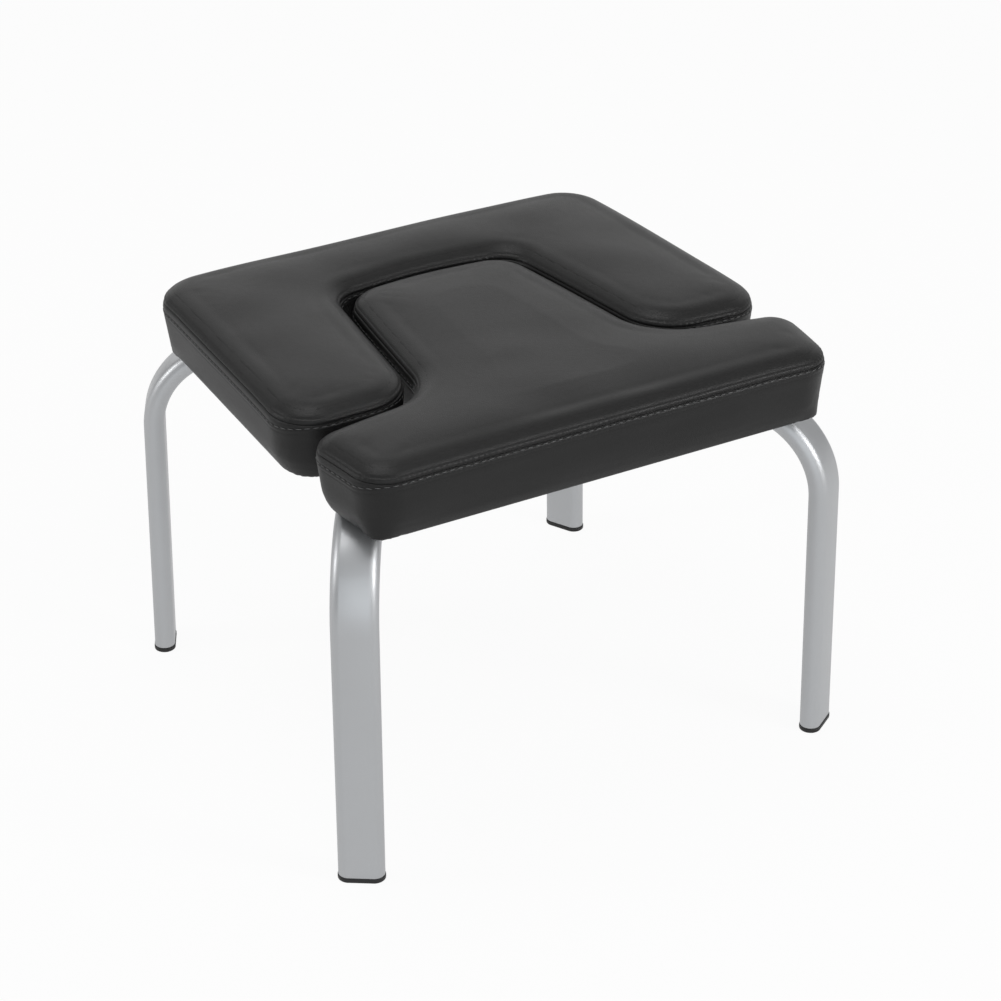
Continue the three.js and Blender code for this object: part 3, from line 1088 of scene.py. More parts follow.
@dataclass(frozen=True)
class Ripple:
    """An uneven ripple: over how many crests it drifts and changes its strength, and by how much."""

    drift_over: float = 3.1
    drift: float = 5.0
    drift_slice: float = 0.5
    change_over: float = 5.3
    change: float = 0.9
    change_slice: float = 7.5
    strength: float = 0.65

    def along(self, values: Rows, pitch: float, seed: float) -> Rows:
        """Makes the ripple along a distance.

        Args:
            values: distances.
            pitch: the mean distance from crest to crest.
            seed: where in the noise the ripple is taken.

        Returns:
            The ripple at each distance, from about -1 to 1.
        """
        slow, slower = pitch * self.drift_over, pitch * self.change_over
        drift = np.array([noise.noise((seed, v / slow, self.drift_slice)) for v in values])
        change = np.array([noise.noise((v / slower, seed, self.change_slice)) for v in values])
        crests = np.sin(values / pitch * math.tau + drift * self.drift)
        return crests * (self.strength + self.change * change)


@dataclass(frozen=True)
class SeamRelief:
    """The relief of the skin about a seam, fine enough for its puckers.

    The cover is turned down over the foam's edge, which stands out as a bead. It is sewn to the band in a
    narrow crease below the bead, and a stitched line follows farther down the band. How far the bead stands
    out, and where the crease and the line run, has one value where the band faces the front or the back and
    one where it faces a side. The bead's rows and those between crease and line are shares, the other rows
    are in millimetres.
    """

    top_end: float = 13.0 * MM
    band_end: float = 6.0 * MM
    overlap: float = 3.0 * MM
    hidden: float = 0.14 * MM
    sunk: float = 2.2 * MM
    sunk_over: float = 3.0 * MM
    bead_start: float = 2.1 * MM
    bead_tilt: float = 32.0
    bead_power: float = 2.6
    front_height: float = 0.7 * MM
    side_height: float = 0.25 * MM
    front_drop: float = 2.1 * MM
    side_drop: float = 1.5 * MM
    front_line: float = 2.1 * MM
    side_line: float = 7.5 * MM
    side_power: int = 3
    valley: float = 0.5 * MM
    valley_off: float = 0.4 * MM
    valley_width: float = 1.5 * MM
    crease: float = 1.5 * MM
    crease_off: float = 0.5 * MM
    crease_width: float = 0.5 * MM
    line_crease: float = 0.55 * MM
    line_width: float = 0.5 * MM
    line_gap: float = 0.4 * MM
    pull: float = 0.25 * MM
    pull_off: float = 1.6 * MM
    pull_width: float = 1.3 * MM
    pucker: float = 0.22 * MM
    pucker_pitch: float = 4.6 * MM
    pucker_side: float = 0.35
    pucker_below: float = 0.5
    pucker_above: float = 0.4
    wander_scale: float = 21.0
    wander_slice: float = 3.5
    crease_wander: float = 0.06
    line_wander: float = 0.05
    inner_step: float = 1.0 * MM
    inner_depth: float = 3.0 * MM
    spacing: float = 1.0 * MM
    top_rows: tuple[float, ...] = (13.0, 11.5, 10.0, 8.6, 7.3, 6.1, 5.1, 4.3, 3.7, 3.2, 2.75, 2.4, 2.1)
    bead_rows: tuple[float, ...] = (0.12, 0.26, 0.42, 0.58, 0.74, 0.88)
    crease_rows: tuple[float, ...] = (0.0, 0.25, 0.5, 0.8, 1.1)
    between_rows: tuple[float, ...] = (0.3, 0.6, 0.85)
    line_rows: tuple[float, ...] = (0.0, 0.35, 0.7, 1.2, 2.0, 3.1, 4.5, 6.0)

    def drop(self, inward: Rows) -> Rows:
        """Returns how far the crease lies down the band, by where the band faces."""
        return self.front_drop + (self.side_drop - self.front_drop) * np.abs(inward[:, 0]) ** self.side_power

    def stitched(self, inward: Rows) -> Rows:
        """Returns how far the stitched line lies below the crease, by where the band faces."""
        return self.front_line + (self.side_line - self.front_line) * np.abs(inward[:, 0]) ** self.side_power

    def upper(self, count: int) -> list[Rows]:
        """Returns the rows above the bead as distances from the seam's edge, column by column."""
        return [np.full(count, reach) for reach in np.array(self.top_rows) * MM]

    def lower(self, drop: Rows, line: Rows) -> list[Rows]:
        """Spaces the rows below the bead, close together at the crease and the stitched line.

        Args:
            drop: where the crease lies.
            line: how far below the crease the stitched line lies.

        Returns:
            The rows as distances from the seam's edge, column by column.
        """
        crease, below = np.array(self.crease_rows) * MM, np.array(self.line_rows) * MM
        near, far = crease[-1], line - self.line_gap
        rows = [-drop - row for row in crease]
        rows += [-drop - near - (far - near) * share for share in self.between_rows]
        return rows + [-drop - line - row for row in below]

    def puckers(self, ripple: Rows, facing: Rows) -> Rows:
        """Returns the puckers' height, less where the band faces a side."""
        return ripple * self.pucker * (self.pucker_side + (1 - self.pucker_side) * facing)

    def lift(self, reach: Rows, drop: Rows, line: Rows, ripple: Rows, facing: Rows) -> Rows:
        """Works out how far one row stands off the pad's plain section.

        Args:
            reach: the row's distance from the seam's edge, positive on top.
            drop: where the crease lies.
            line: how far below the crease the stitched line lies.
            ripple: the puckers, from -1 to 1.
            facing: 1 where the band faces the front or the back, 0 where it faces a side.

        Returns:
            The lift, column by column.
        """
        valley = bell(reach - self.bead_start - self.valley_off, self.valley_width)
        crease = self.crease * bell(reach + drop + self.crease_off, self.crease_width)
        stitched = self.line_crease * bell(reach + drop + line, self.line_width)
        under = bell(reach + drop + line + self.pull_off, self.pull_width)
        puckers = self.puckers(ripple, facing) * (self.pucker_below * under + self.pucker_above * valley)
        ends = smooth_step(reach, self.top_end - self.overlap, self.top_end)
        ends = ends + smooth_step(-reach - drop - line, self.band_end - self.overlap, self.band_end)
        return self.pull * under + puckers - self.valley * valley - crease - stitched - self.hidden * ends

    def bead(self, share: float, ripple: Rows, facing: Rows) -> Rows:
        """Works out how far the bead stands off the straight line from its upper to its lower edge.

        Args:
            share: where on that line, from 0 to 1.
            ripple: the puckers, from -1 to 1.
            facing: 1 where the band faces the front or the back, 0 where it faces a side.

        Returns:
            The distance, column by column.
        """
        height = self.side_height + (self.front_height - self.side_height) * facing
        arch = 1 - abs(2 * share - 1) ** self.bead_power
        return (height + self.puckers(ripple, facing)) * arch

    def cover(self, reach: Rows, reach_below: Rows) -> Rows:
        """Works out how far the coarser cushion sinks under the strip.

        Args:
            reach: distances from the seam's edge, positive on top.
            reach_below: where the stitched line lies.

        Returns:
            The depths.
        """
        inside = smooth_step(self.top_end - self.overlap - reach, 0, self.sunk_over)
        below = smooth_step(reach + reach_below + self.band_end - self.overlap, 0, self.sunk_over)
        return self.sunk * inside * below


@dataclass(frozen=True)
class Stitching:
    """The row of stitches in the stitched line."""

    pitch: float = 6.4 * MM
    length: float = 5.3 * MM
    thickness: float = 0.75 * MM
    lift: float = 0.05 * MM


@dataclass(frozen=True)
class Filling:
    """How a pad is blown up: cloth under pressure, held at its seam and its board.

    The waist and the shoulder of the form that is blown up are an inset and a height each: the waist's
    inset is a share of the band's, the shoulder's one of start_inset, and both heights are shares of the
    band's height. The crown's levels are shares of its reach.
    """

    voxel: float = 4.5 * MM
    start_inset: float = 1.6 * MM
    waist: tuple[float, float] = (0.45, 0.28)
    shoulder: tuple[float, float] = (1.0, 0.6)
    edge_inset: float = 0.6
    crown_levels: tuple[float, ...] = (0.12, 0.35, 0.65, 1.0)
    crown_inset: float = 0.95
    cloth: tuple[tuple[str, float], ...] = (
        ("quality", 5), ("mass", 0.25), ("tension_stiffness", 15), ("compression_stiffness", 15),
        ("shear_stiffness", 5), ("bending_stiffness", 0.4), ("use_pressure", True),
        ("uniform_pressure_force", 4.0),
    )
    frames: int = 20
    cap: float = 5.0 * MM
    seam_hold: float = 5.0 * MM
    least_hold: float = 0.02
    free_beyond: float = 14.0 * MM
    free_from: float = 0.9
    board_clear: tuple[float, float] = (6 * MM, 16 * MM)
    bulge: float = 2.5 * MM
    bulge_share: float = 0.6
    swell: float = 0.9 * MM
    swell_scale: float = 21.0


@dataclass(frozen=True)
class EdgeWarp:
    """How a hand-made pad departs from its plan: corners pulled down, edges slightly wavy.

    It fades out down the band, from fade_top below the seam to fade_base above the board's underside.
    """

    seed: float
    corners: tuple[tuple[float, float], ...]
    corner_dip: float = 1.8 * MM
    corner_reach: float = 42 * MM
    waves: float = 0.9 * MM
    wave_scale: float = 9.0
    fade_base: float = 8 * MM
    fade_top: float = 4 * MM

    def height(self, places: Rows) -> Rows:
        """Works out how far the edge lies above its plan.

        Args:
            places: rows of x, y and z.

        Returns:
            The height at each of them.
        """
        origin = Vector((0, self.seed, 0))
        change = self.waves * np.array([
            noise.noise(Vector((x, y, 0)) * self.wave_scale + origin) for x, y in places[:, :2]
        ])
        for corner in self.corners:
            far = np.linalg.norm(places[:, :2] - np.array(corner), axis=1)
            change -= self.corner_dip * bell(far, self.corner_reach)
        return change


@dataclass(frozen=True)
class Underside:
    """What closes a pad from below: the board and the cloth, and how far inside the skin they end."""

    board_inset: float = 1.5 * MM
    board_points: int = 500
    board_levels: tuple[float, ...] = (0, 0.25, 0.5, 0.75, 1)
    cloth_inset: float = 0.5 * MM


class UpholsteredPad:
    """One pad: cushion, bead, stitches, base cloth and the board inside, dressed and on its body."""

    relief = SeamRelief()
    stitching = Stitching()
    filling = Filling()
    underside = Underside()
    outer_corner = 150 * MM

    def __init__(self, prefix: str, body: Body, corners: Sequence[Corner], seed: float) -> None:
        """Keeps the pad's outline and section.

        Args:
            prefix: how its nodes' names start.
            body: what it moves with.
            corners: its seam in plan.
            seed: where in the noise its unevenness is taken.
        """
        self.prefix = prefix
        self.body = body
        self.corners = corners
        self.seed = seed
        self.seam = SeamLine(corners)
        groove_side = 1.0 if body is Body.FRONT_PAD else -1.0
        self.section = Section(PadHeights.of(prefix), groove_side=groove_side)
        self.skin = Skin(self.section)
        self.warp = EdgeWarp(seed, tuple((c.x, c.y) for c in corners if abs(c.x) > self.outer_corner))

    def build(self) -> list[Piece]:
        """Makes and dresses every piece of the pad."""
        return [self.cushion(), self.seam_strip(), self.stitches(), self.base_cloth(), self.board()]

    def on_skin(self, arc: Rows, reach: Rows, lift: Rows | float = 0.0) -> Rows:
        """Places points on the pad's skin.

        Args:
            arc: distances along the seam.
            reach: distances from the seam's edge over the skin, positive on top.
            lift: how far off the skin.

        Returns:
            Rows of x, y and z.
        """
        points, inward = self.seam.at(arc)
        depth, height = self.skin.at(reach, lift)
        depth = depth + self.section.drawn_in(points, inward, height, depth)
        return self.warped(np.column_stack([points + inward * depth[:, None], height]))

    def warped(self, places: Rows) -> Rows:
        """Gives places the edge's unevenness, which ends at the board.

        Args:
            places: rows of x, y and z.

        Returns:
            Where they end.
        """
        heights = self.section.heights
        low, high = heights.base + self.warp.fade_base, heights.seam - self.warp.fade_top
        share = smooth_step(places[:, 2], low, high)
        return places + np.array([0, 0, 1]) * (self.warp.height(places) * share)[:, None]

    def cushion(self) -> Piece:
        """Makes the cushion: a closed form blown up as cloth, then held to its seam.

        Returns:
            The cushion.
        """
        piece = new_piece(f"{self.prefix}_cushion", self.start_form())
        remesh = piece.modifiers.new("voxels", "REMESH")
        remesh.mode = "VOXEL"
        remesh.voxel_size = self.filling.voxel
        apply_modifiers(piece)
        self.blow_up(piece)
        finer = piece.modifiers.new("finer", "SUBSURF")
        finer.levels = finer.render_levels = 1
        apply_modifiers(piece)
        place_vertices(piece, self.settled(vertices_of(piece)))
        Leatherette().paint(piece)
        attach(piece, self.body.value)
        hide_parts(*(f"{self.prefix}_{part}" for part in ("top_cover", "side_band", "foam")))
        return piece

    def start_form(self) -> Shape:
        """Lofts the cushion before it is blown up, a little smaller than it ends.

        Returns:
            The closed form.
        """
        filling, section = self.filling, self.section
        small = filling.start_inset
        base, seam = section.heights.base, section.heights.seam
        steps = np.array(filling.crown_levels) * section.crown_reach
        waist, shoulder = filling.waist, filling.shoulder
        levels = [
            (section.band_inset, base),
            (section.band_inset * waist[0], base + (seam - base) * waist[1]),
            (small * shoulder[0], base + (seam - base) * shoulder[1]),
            (small * filling.edge_inset, seam - small),
            *zip(small + steps * filling.crown_inset, section.crown_at(steps) - small),
        ]
        return stacked([level_ring(rounded(self.corners, inset), height) for inset, height in levels])

    def blow_up(self, piece: Piece) -> None:
        """Runs the cloth under pressure, with the seam and the board side held, and keeps its result.

        Args:
            piece: the cushion.
        """
        before = vertices_of(piece)
        _, depth, _ = self.seam.locate(before[:, :2])
        arc = self.skin.project(depth, before[:, 2])
        hold = np.clip(1 - (np.abs(arc) - self.filling.seam_hold) / self.filling.seam_hold, 0, 1)
        hold[before[:, 2] < self.section.heights.base + self.filling.seam_hold] = 1
        group = piece.vertex_groups.new(name="held")
        for index in np.nonzero(hold > self.filling.least_hold)[0]:
            group.add([int(index)], float(hold[index]), "REPLACE")
        cloth = piece.modifiers.new("cloth", "CLOTH")
        for name, value in self.filling.cloth:
            setattr(cloth.settings, name, value)
        cloth.settings.vertex_group_mass = group.name
        cloth.settings.effector_weights.gravity = 0
        cloth.point_cache.frame_start = 1
        cloth.point_cache.frame_end = self.filling.frames
        for step in range(1, self.filling.frames + 1):
            bpy.context.scene.frame_set(step)
        apply_modifiers(piece)
        piece.vertex_groups.clear()
        bpy.context.scene.frame_set(1)
        moved = vertices_of(piece) - before
        far = np.linalg.norm(moved, axis=1)
        share = np.minimum(1, self.filling.cap / np.maximum(far, SAME_PLACE))
        LOG.info("%s: blown up by %.1f mm at most", piece.name, far.max() / MM)
        place_vertices(piece, before + moved * share[:, None])

    def settled(self, places: Rows) -> Rows:
        """Draws the blown-up form to the pad's section, closely at the seam and loosely away from it.

        Args:
            places: the vertices.

        Returns:
            Where they end.
        """
        filling = self.filling
        arc, depth, direction = self.seam.locate(places[:, :2])
        points, inward = self.seam.at(arc)
        reach = self.skin.project(depth, places[:, 2])
        target_depth, target_height = self.skin.at(reach)
        outward = self.skin.normals(reach)
        off = (depth - target_depth) * outward[:, 0] + (places[:, 2] - target_height) * outward[:, 1]
        below = self.relief.drop(inward) + self.relief.stitched(inward)
        above_board = smooth_step(places[:, 2] - self.section.heights.base, *filling.board_clear)
        beyond = np.where(reach > 0, reach - self.relief.top_end, -reach - below - self.relief.band_end)
        loose = smooth_step(beyond, 0, filling.free_beyond) * above_board
        free = loose > filling.free_from
        usual = float(np.median(off[free])) if free.any() else 0.0
        lift = np.clip(off - usual, -filling.bulge, filling.bulge) * loose * filling.bulge_share
        lift += self.unevenness(places) * loose
        lift -= self.relief.cover(reach, below)
        height = target_height + lift * outward[:, 1]
        drawn = self.section.drawn_in(points, inward, height, target_depth)
        shift = target_depth + lift * outward[:, 0] + drawn - depth
        shift = np.where(depth >= self.section.crown_reach, 0, shift)
        return self.warped(np.column_stack([places[:, :2] + direction * shift[:, None], height]))

    def unevenness(self, places: Rows) -> Rows:
        """Returns small broad swells of the skin."""
        origin, scale = Vector((self.seed, 0, 0)), self.filling.swell_scale
        return self.filling.swell * np.array([noise.noise(Vector(p) * scale + origin) for p in places])

    def seam_lines(self, arc: Rows) -> tuple[Rows, Rows, Rows]:
        """Finds where the crease and the stitched line run, with their wander.

        Args:
            arc: distances along the seam.

        Returns:
            The inward directions, the crease's distance below the seam's edge, and the line's below it.
        """
        relief = self.relief
        _, inward = self.seam.at(arc)
        spots = ((a * relief.wander_scale, self.seed, relief.wander_slice) for a in arc)
        wander = np.array([noise.noise(spot) for spot in spots])
        drop = relief.drop(inward) * (1 + relief.crease_wander * wander)
        return inward, drop, relief.stitched(inward) * (1 + relief.line_wander * wander)

    def seam_strip(self) -> Piece:
        """Makes the skin about the seam: bead, crease and puckers.

        Returns:
            The strip, closed by a hidden inner side.
        """
        relief = self.relief
        arc = self.seam.evenly(relief.spacing)
        count = len(arc)
        inward, drop, line = self.seam_lines(arc)
        facing = inward[:, 1] ** 2
        ripple = Ripple().along(arc, relief.pucker_pitch, self.seed)
        upper, lower = relief.upper(count), relief.lower(drop, line)
        above, below = (
            [self.on_skin(arc, reach, relief.lift(reach, drop, line, ripple, facing)) for reach in rows]
            for rows in (upper, lower)
        )
        tilt = math.radians(relief.bead_tilt)
        out = np.column_stack([-inward * math.cos(tilt), np.full(count, math.sin(tilt))])
        bead = [above[-1] + (below[0] - above[-1]) * share + out * relief.bead(share, ripple, facing)[:, None]
                for share in relief.bead_rows]
        step, deep = relief.inner_step, relief.inner_depth
        inner = [(lower[-1] + step, -deep), (np.full(count, -step), -2 * deep), (upper[0] - step, -deep)]
        shape = bmesh.new()
        first = ring = closed_ring(shape, above[0])
        for places in above[1:] + bead + below + [self.on_skin(arc, reach, lift) for reach, lift in inner]:
            ring = grow(shape, ring, places)
        for index in range(count):
            after = (index + 1) % count
            shape.faces.new((ring[index], ring[after], first[after], first[index]))
        piece = new_piece(f"{self.prefix}_seam", shape, smooth_below=120)
        Leatherette().paint(piece)
        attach(piece, self.body.value)
        return piece

    def stitches(self) -> Piece:
        """Makes the row of stitches below the bead.

        Returns:
            The stitches, in one piece.
        """
        row = self.stitching
        arc = self.seam.evenly(row.pitch)
        inward, drop, line = self.seam_lines(arc)
        places = self.on_skin(arc, -drop - line, row.lift)
        ahead = self.on_skin(arc + row.pitch / 2, -drop - line, row.lift)
        size = Matrix.Diagonal((row.length / 2, row.thickness / 2, row.thickness / 2, 1))
        shape = bmesh.new()
        for place, toward, normal in zip(places, ahead, inward):
            along = Vector(toward - place).normalized()
            out = Vector((-normal[0], -normal[1], 0))
            turn = Matrix((along, out, along.cross(out))).transposed().to_4x4()
            bmesh.ops.create_icosphere(shape, subdivisions=1, radius=1,
                                       matrix=Matrix.Translation(place) @ turn @ size)
        piece = new_piece(f"{self.prefix}_stitches", shape, smooth_below=180)
        Thread().paint(piece)
        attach(piece, self.body.value)
        return piece

    def board(self) -> Piece:
        """Makes the plywood board, whose edge follows the skin.

        Returns:
            The board.
        """
        node = f"{self.prefix}_board"
        low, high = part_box(node)
        size = self.underside
        points, inward = self.seam.at(np.linspace(0, self.seam.length, size.board_points, endpoint=False))
        inset = self.section.band_inset + size.board_inset
        levels = []
        for share in size.board_levels:
            height = low.z + (high.z - low.z) * share
            depth = inset + self.section.drawn_in(points, inward, height, inset)
            levels.append(level_ring(points + inward * depth[:, None], height))
        piece = new_piece(f"{self.prefix}_plywood", stacked(levels))
        Plywood().paint(piece)
        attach(piece, self.body.value)
        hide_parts(node)
        return piece

    def base_cloth(self) -> Piece:
        """Makes the cloth that closes the pad from below.

        Returns:
            The cloth.
        """
        node = f"{self.prefix}_base_cloth"
        low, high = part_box(node)
        inset = self.section.band_inset + self.section.underfold + self.underside.cloth_inset
        outline = rounded(self.corners, inset)
        levels = [level_ring(outline, height) for height in (low.z, high.z)]
        piece = new_piece(f"{self.prefix}_dust_cloth", stacked(levels))
        DustCloth().paint(piece)
        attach(piece, self.body.value)
        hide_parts(node)
        return piece


# Legs


@dataclass(frozen=True)
class TubeSize:
    """The flat-oval tube of the legs and its bend."""

    width: float = 36 * MM
    thickness: float = 17 * MM
    wall: float = 1.5 * MM
    bend_radius: float = 68 * MM
    lean: float = math.radians(1)
    foot_gap: float = 4.3 * MM
    past_bolt: float = 18 * MM
    round_steps: int = 28
    bend_steps: int = 26


@dataclass(frozen=True)
class PlugSize:
    """A plug in a tube's end: its flange with soft edges, and the skirt that goes into the tube."""

    flange: float
    lip: float
    skirt: float
    softness: float = 0.8 * MM


class BentLeg:
    """One leg: a flat-oval tube up from its cap, over one bend and level under the pads."""

    tube = TubeSize()
    cap = PlugSize(4 * MM, 0.5 * MM, 18 * MM)
    plug = PlugSize(2.5 * MM, 0.0, 10 * MM)
    plug_out = 2.8 * MM

    def __init__(self, name: str) -> None:
        """Reads the leg's foot and the direction of its arm from the frame.

        Args:
            name: which leg.
        """
        self.name = name
        low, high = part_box(f"foot_cap_{name}")
        foot = Vector(((low.x + high.x) / 2, (low.y + high.y) / 2, 0))
        bolts = [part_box(f"leg_bolt_{name}_{k}") for k in (1, 2)]
        near, far = (Vector(((a.x + b.x) / 2, (a.y + b.y) / 2, 0)) for a, b in bolts)
        direction = (far - near).normalized()
        self.arm_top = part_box(f"leg_{name}")[1].z
        self.reach = (far - foot).length + self.tube.past_bolt
        self.placed = Matrix.Translation(foot) @ Matrix.Rotation(math.atan2(direction.y, direction.x), 4, "Z")

    def build(self) -> list[Piece]:
        """Makes the tube, its cap and its plug."""
        return [self.tube_piece(), self.foot_cap(), self.arm_plug()]

    def oval(self, shape: Shape, inset: float, height: float) -> Edges:
        """Adds the tube's flat-oval section, widest across Y.

        Args:
            shape: the bmesh.
            inset: how far inside the tube's outer face.
            height: where along Z.

        Returns:
            The section's edges.
        """
        size = self.tube
        half = math.pi / size.round_steps
        made = bmesh.ops.create_circle(shape, segments=size.round_steps, radius=size.thickness / 2 - inset,
                                       matrix=Matrix.Rotation(half, 4, "Z"))
        straight = (size.width - size.thickness) / 2
        for vertex in made["verts"]:
            vertex.co.y += math.copysign(straight, vertex.co.y)
            vertex.co.z = height
        return list(dict.fromkeys(edge for vertex in made["verts"] for edge in vertex.link_edges))

    def tube_piece(self) -> Piece:
        """Sweeps the section up the riser, round the bend and along the arm.

        Returns:
            The tube.
        """
        size = self.tube
        shape = bmesh.new()
        edges = self.oval(shape, 0.0, size.foot_gap)
        lean = math.tan(size.lean)
        bmesh.ops.translate(shape, verts=shape.verts[:], vec=(size.foot_gap * lean, 0, 0))
        axis_height = self.arm_top - size.thickness / 2
        rise = axis_height - size.bend_radius * (1 - math.sin(size.lean)) - size.foot_gap
        edges = self.extruded(shape, edges, (rise * lean, 0, rise))
        start = Vector(((size.foot_gap + rise) * lean, 0, size.foot_gap + rise))
        centre = start + Vector((math.cos(size.lean), 0, -math.sin(size.lean))) * size.bend_radius
        ends = dict.fromkeys(vertex for edge in edges for vertex in edge.verts)
        spun = bmesh.ops.spin(shape, geom=[*ends, *edges], cent=centre, axis=(0, 1, 0),
                              angle=math.pi / 2 - size.lean, steps=size.bend_steps, use_duplicate=False)
        last = [e for e in spun["geom_last"] if isinstance(e, bmesh.types.BMEdge)]
        self.extruded(shape, last, (self.reach - centre.x, 0, 0))
        bmesh.ops.remove_doubles(shape, verts=shape.verts[:], dist=SAME_PLACE)
        bmesh.ops.recalc_face_normals(shape, faces=shape.faces[:])
        bmesh.ops.solidify(shape, geom=shape.faces[:], thickness=size.wall)
        bmesh.ops.transform(shape, matrix=self.placed, verts=shape.verts[:])
        piece = new_piece(f"leg_tube_{self.name}", shape)
        SatinSteel().paint(piece)
        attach(piece, Body.STOOL.value)
        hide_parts(f"leg_{self.name}")
        return piece

    @staticmethod
    def extruded(shape: Shape, edges: Edges, move: tuple[float, float, float]) -> Edges:
        """Extrudes a loop of edges.

        Args:
            shape: the bmesh.
            edges: the loop.
            move: how far it goes.

        Returns:
            The new loop.
        """
        made = bmesh.ops.extrude_edge_only(shape, edges=edges)["geom"]
        fresh = fresh_vertices(made)
        bmesh.ops.translate(shape, verts=fresh, vec=move)
        inside = set(fresh)
        return [e for e in made if isinstance(e, bmesh.types.BMEdge) and all(v in inside for v in e.verts)]

    def plug_form(self, size: PlugSize) -> Shape:
        """Makes a plug along +Z.

        Args:
            size: its size.

        Returns:
            The plug, with its flange at zero.
        """
        shape = bmesh.new()
        bottom = bmesh.ops.contextual_create(shape, geom=self.oval(shape, -size.lip, 0.0))["faces"][0]
        top = bmesh.ops.extrude_face_region(shape, geom=[bottom])["geom"]
        bmesh.ops.translate(shape, verts=fresh_vertices(top), vec=(0, 0, size.flange))
        bmesh.ops.recalc_face_normals(shape, faces=shape.faces[:])
        rims = [e for e in shape.edges if abs(e.verts[0].co.z - e.verts[1].co.z) < SAME_PLACE]
        bmesh.ops.bevel(shape, geom=rims, offset=size.softness, affect="EDGES", segments=3, profile=0.5,
                        material=-1)
        upper = max(shape.faces, key=lambda f: (round(f.calc_center_median().z, 5), f.calc_area()))
        bmesh.ops.inset_region(shape, faces=[upper], thickness=self.tube.wall + size.lip)
        skirt = bmesh.ops.extrude_face_region(shape, geom=[upper])["geom"]
        bmesh.ops.delete(shape, geom=[upper], context="FACES_ONLY")
        bmesh.ops.translate(shape, verts=fresh_vertices(skirt), vec=(0, 0, size.skirt))
        return shape

    def foot_cap(self) -> Piece:
        """Makes the black cap under the foot."""
        return self.plug_piece(f"cap_{self.name}", self.cap, self.placed, f"foot_cap_{self.name}")

    def arm_plug(self) -> Piece:
        """Makes the plug in the arm's end.

        Returns:
            The plug.
        """
        flip = Matrix.Rotation(-math.pi / 2, 4, "Y")
        along = Matrix.Translation((self.reach + self.plug_out, 0, self.arm_top - self.tube.thickness / 2))
        placed = self.placed @ along @ flip
        return self.plug_piece(f"plug_{self.name}", self.plug, placed, f"arm_plug_{self.name}")

    def plug_piece(self, name: str, size: PlugSize, placed: Matrix, node: str) -> Piece:
        """Makes a plug and puts it where it belongs.

        Args:
            name: the piece's name.
            size: its size.
            placed: its place.
            node: the frame's node that it stands for.

        Returns:
            The plug.
        """
        shape = self.plug_form(size)
        bmesh.ops.transform(shape, matrix=placed, verts=shape.verts[:])
        piece = new_piece(name, shape, smooth_below=50)
        MouldedPlastic().paint(piece)
        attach(piece, Body.STOOL.value)
        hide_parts(node)
        return piece


class Fittings:
    """The hidden metal parts, which stay as the frame has them."""

    prefixes = (
        "leg_bolt_", "bolt_washer_", "threaded_insert_", "plate_screw_", "front_pad_peg_", "rest_plate",
    )

    def build(self) -> list[Piece]:
        """Gives them bright zinc."""
        metal = [node for name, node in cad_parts.items() if name.startswith(self.prefixes)]
        return [BrightZinc().paint(node) for node in metal]


# Studio


@dataclass(frozen=True)
class PhotoCamera:
    """The photograph's camera: where it stands, how it is turned, and its focal length in pixels."""

    place: tuple[float, float, float] = (-0.98926, -1.76106, 1.31227)
    azimuth: float = -29.90
    elevation: float = 29.39
    roll: float = -0.16
    focal_pixels: float = 2850.0
    frame_pixels: float = 1001.0
    sensor: float = 36.0
    sees_to: float = 100.0

    def build(self) -> None:
        """Makes the camera and the scene look through it."""
        data = bpy.data.cameras.new("camera")
        data.sensor_width = self.sensor
        data.lens = self.focal_pixels / self.frame_pixels * self.sensor
        data.clip_end = self.sees_to
        camera = bpy.data.objects.new("camera", data)
        bpy.context.scene.collection.objects.link(camera)
        camera.location = self.place
        level = Euler((math.radians(90 - self.elevation), 0, math.radians(self.azimuth))).to_matrix()
        camera.rotation_euler = (level @ Matrix.Rotation(math.radians(self.roll), 3, "Z")).to_euler()
        bpy.context.scene.camera = camera


@dataclass(frozen=True)
class Softbox:
    """A rectangular soft lamp that looks at the middle of the seat."""

    name: str
    place: tuple[float, float, float]
    size: tuple[float, float]
    power: float
    target: tuple[float, float, float] = (0.0, 0.0, 0.25)
    colour: tuple[float, float, float] = (1.0, 1.0, 1.0)

    def build(self) -> None:
        """Hangs the lamp."""
        data = bpy.data.lights.new(self.name, "AREA")
        data.shape = "RECTANGLE"
        data.size, data.size_y = self.size
        data.energy = self.power
        data.color = self.colour
        lamp = bpy.data.objects.new(self.name, data)
        bpy.context.scene.collection.objects.link(lamp)
        lamp.location = self.place
        look = Vector(self.target) - Vector(self.place)
        lamp.rotation_euler = look.to_track_quat("-Z", "Y").to_euler()


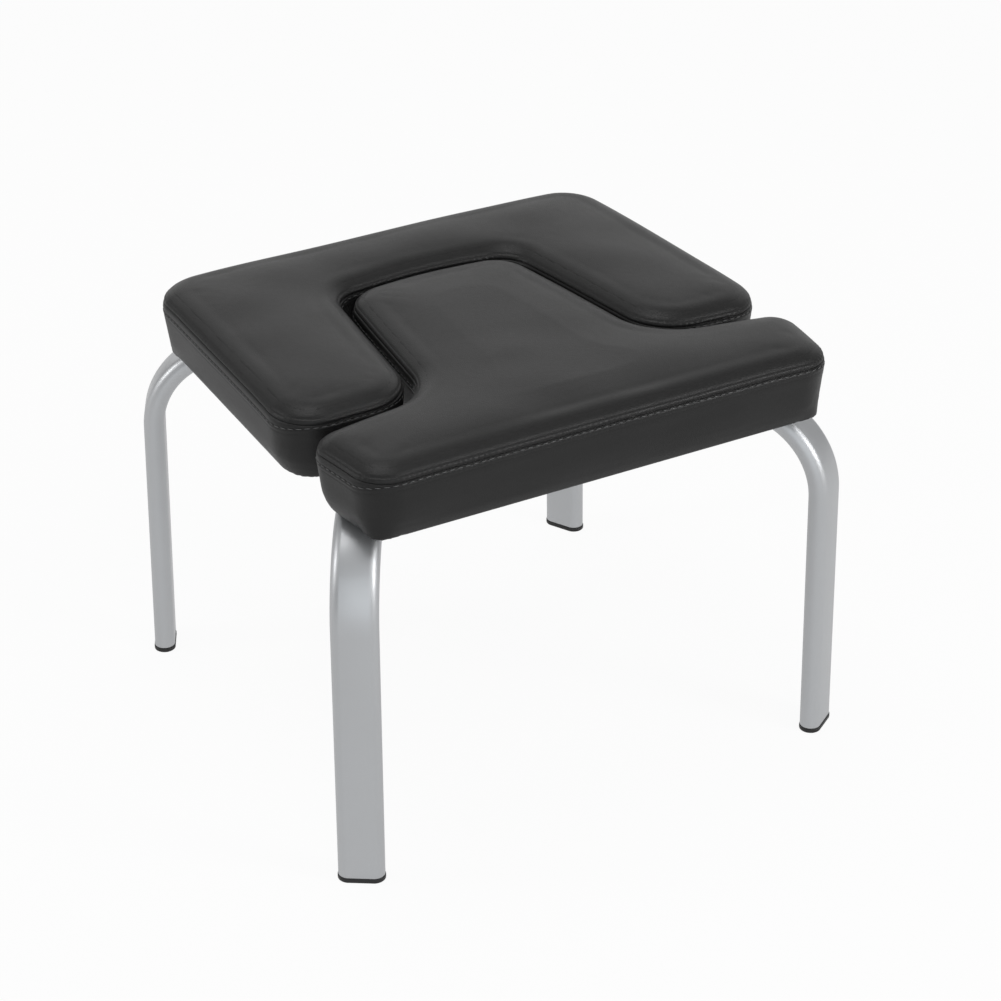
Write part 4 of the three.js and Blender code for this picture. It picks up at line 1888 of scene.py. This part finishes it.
@dataclass(frozen=True)
class Studio:
    """A plain pale floor, a pale surround and soft lamps."""

    floor_radius: float = 9.0
    floor_white: float = 0.94
    floor_shine: float = 0.8
    shine_tone: float = 0.76
    floor_colour: float = 0.72
    surround: float = 0.32
    lamps: tuple[Softbox, ...] = (
        Softbox("back_wall", (1.9, 3.3, 1.9), (7.0, 3.6), 52.0),
        Softbox("top_softbox", (-0.4, 0.2, 2.5), (1.3, 0.9), 15.0),
        Softbox("left_lamp", (-2.2, 0.9, 1.2), (0.5, 0.9), 12.0),
        Softbox("right_lamp", (1.3, -1.9, 1.15), (0.6, 0.9), 20.0),
        Softbox("front_softbox", (1.0, -1.75, 2.7), (1.6, 0.9), 12.0),
        Softbox("front_window", (-1.4, -2.7, 1.2), (3.2, 2.4), 22.0, colour=(0.92, 0.965, 1.0)),
    )

    def build(self) -> None:
        """Sets the floor, the surround, the lamps and plain colours."""
        self.floor()
        self.world()
        for lamp in self.lamps:
            lamp.build()
        bpy.context.scene.view_settings.view_transform = "Standard"

    def floor(self) -> None:
        """Lays the floor, which shows white and keeps a soft shadow."""
        shape = bmesh.new()
        bmesh.ops.create_circle(shape, segments=64, radius=self.floor_radius, cap_ends=True)
        piece = new_piece("floor", shape)
        material = bpy.data.materials.new("pale_floor")
        graph = Graph.emptied(material)
        seen = graph.add("LightPath").outputs
        dimmed = graph.math("MULTIPLY", seen["Is Glossy Ray"], 1 - self.shine_tone)
        strength = graph.math("SUBTRACT", 1.0, dimmed)
        white = graph.add("Emission", {"Color": (1, 1, 1, 1), "Strength": strength})
        matt = graph.add("BsdfDiffuse", {"Color": grey(self.floor_colour)})
        shown = graph.math("MULTIPLY", seen["Is Camera Ray"], self.floor_white)
        shine = graph.math("MULTIPLY", seen["Is Glossy Ray"], self.floor_shine)
        share = graph.math("MAXIMUM", shown, shine)
        mixed = graph.add("MixShader", {0: share, 1: matt.outputs[0], 2: white.outputs[0]})
        graph.add("OutputMaterial", {"Surface": mixed.outputs[0]})
        piece.data.materials.append(material)

    def world(self) -> None:
        """Makes the surround: white where the camera sees it, softer as a light."""
        world = bpy.data.worlds.new("surround")
        bpy.context.scene.world = world
        graph = Graph.emptied(world)
        seen = graph.add("LightPath").outputs["Is Camera Ray"]
        soft, white = (graph.add("Background", {"Color": (1, 1, 1, 1), "Strength": strength}).outputs[0]
                       for strength in (self.surround, 1.0))
        mixed = graph.add("MixShader", {0: seen, 1: soft, 2: white})
        graph.add("OutputWorld", {"Surface": mixed.outputs[0]})


def main() -> None:
    """Builds the stool's looks and the studio round it, and reports each piece."""
    logging.basicConfig(level=logging.INFO, format="%(name)s: %(message)s")
    PhotoCamera().build()
    plan = SeatPlan()
    parts = [
        UpholsteredPad("front_pad", Body.FRONT_PAD, plan.front_pad(), seed=3.7),
        UpholsteredPad("rear_pad", Body.STOOL, plan.rear_pad(), seed=11.3),
        *(BentLeg(name) for name in ("front_left", "front_right", "rear_left", "rear_right")),
        Fittings(),
    ]
    for part in parts:
        for piece in part.build():
            LOG.info("%s: %d vertices", piece.name, len(piece.data.vertices))
    Studio().build()


if __name__ == "__main__":
    main()
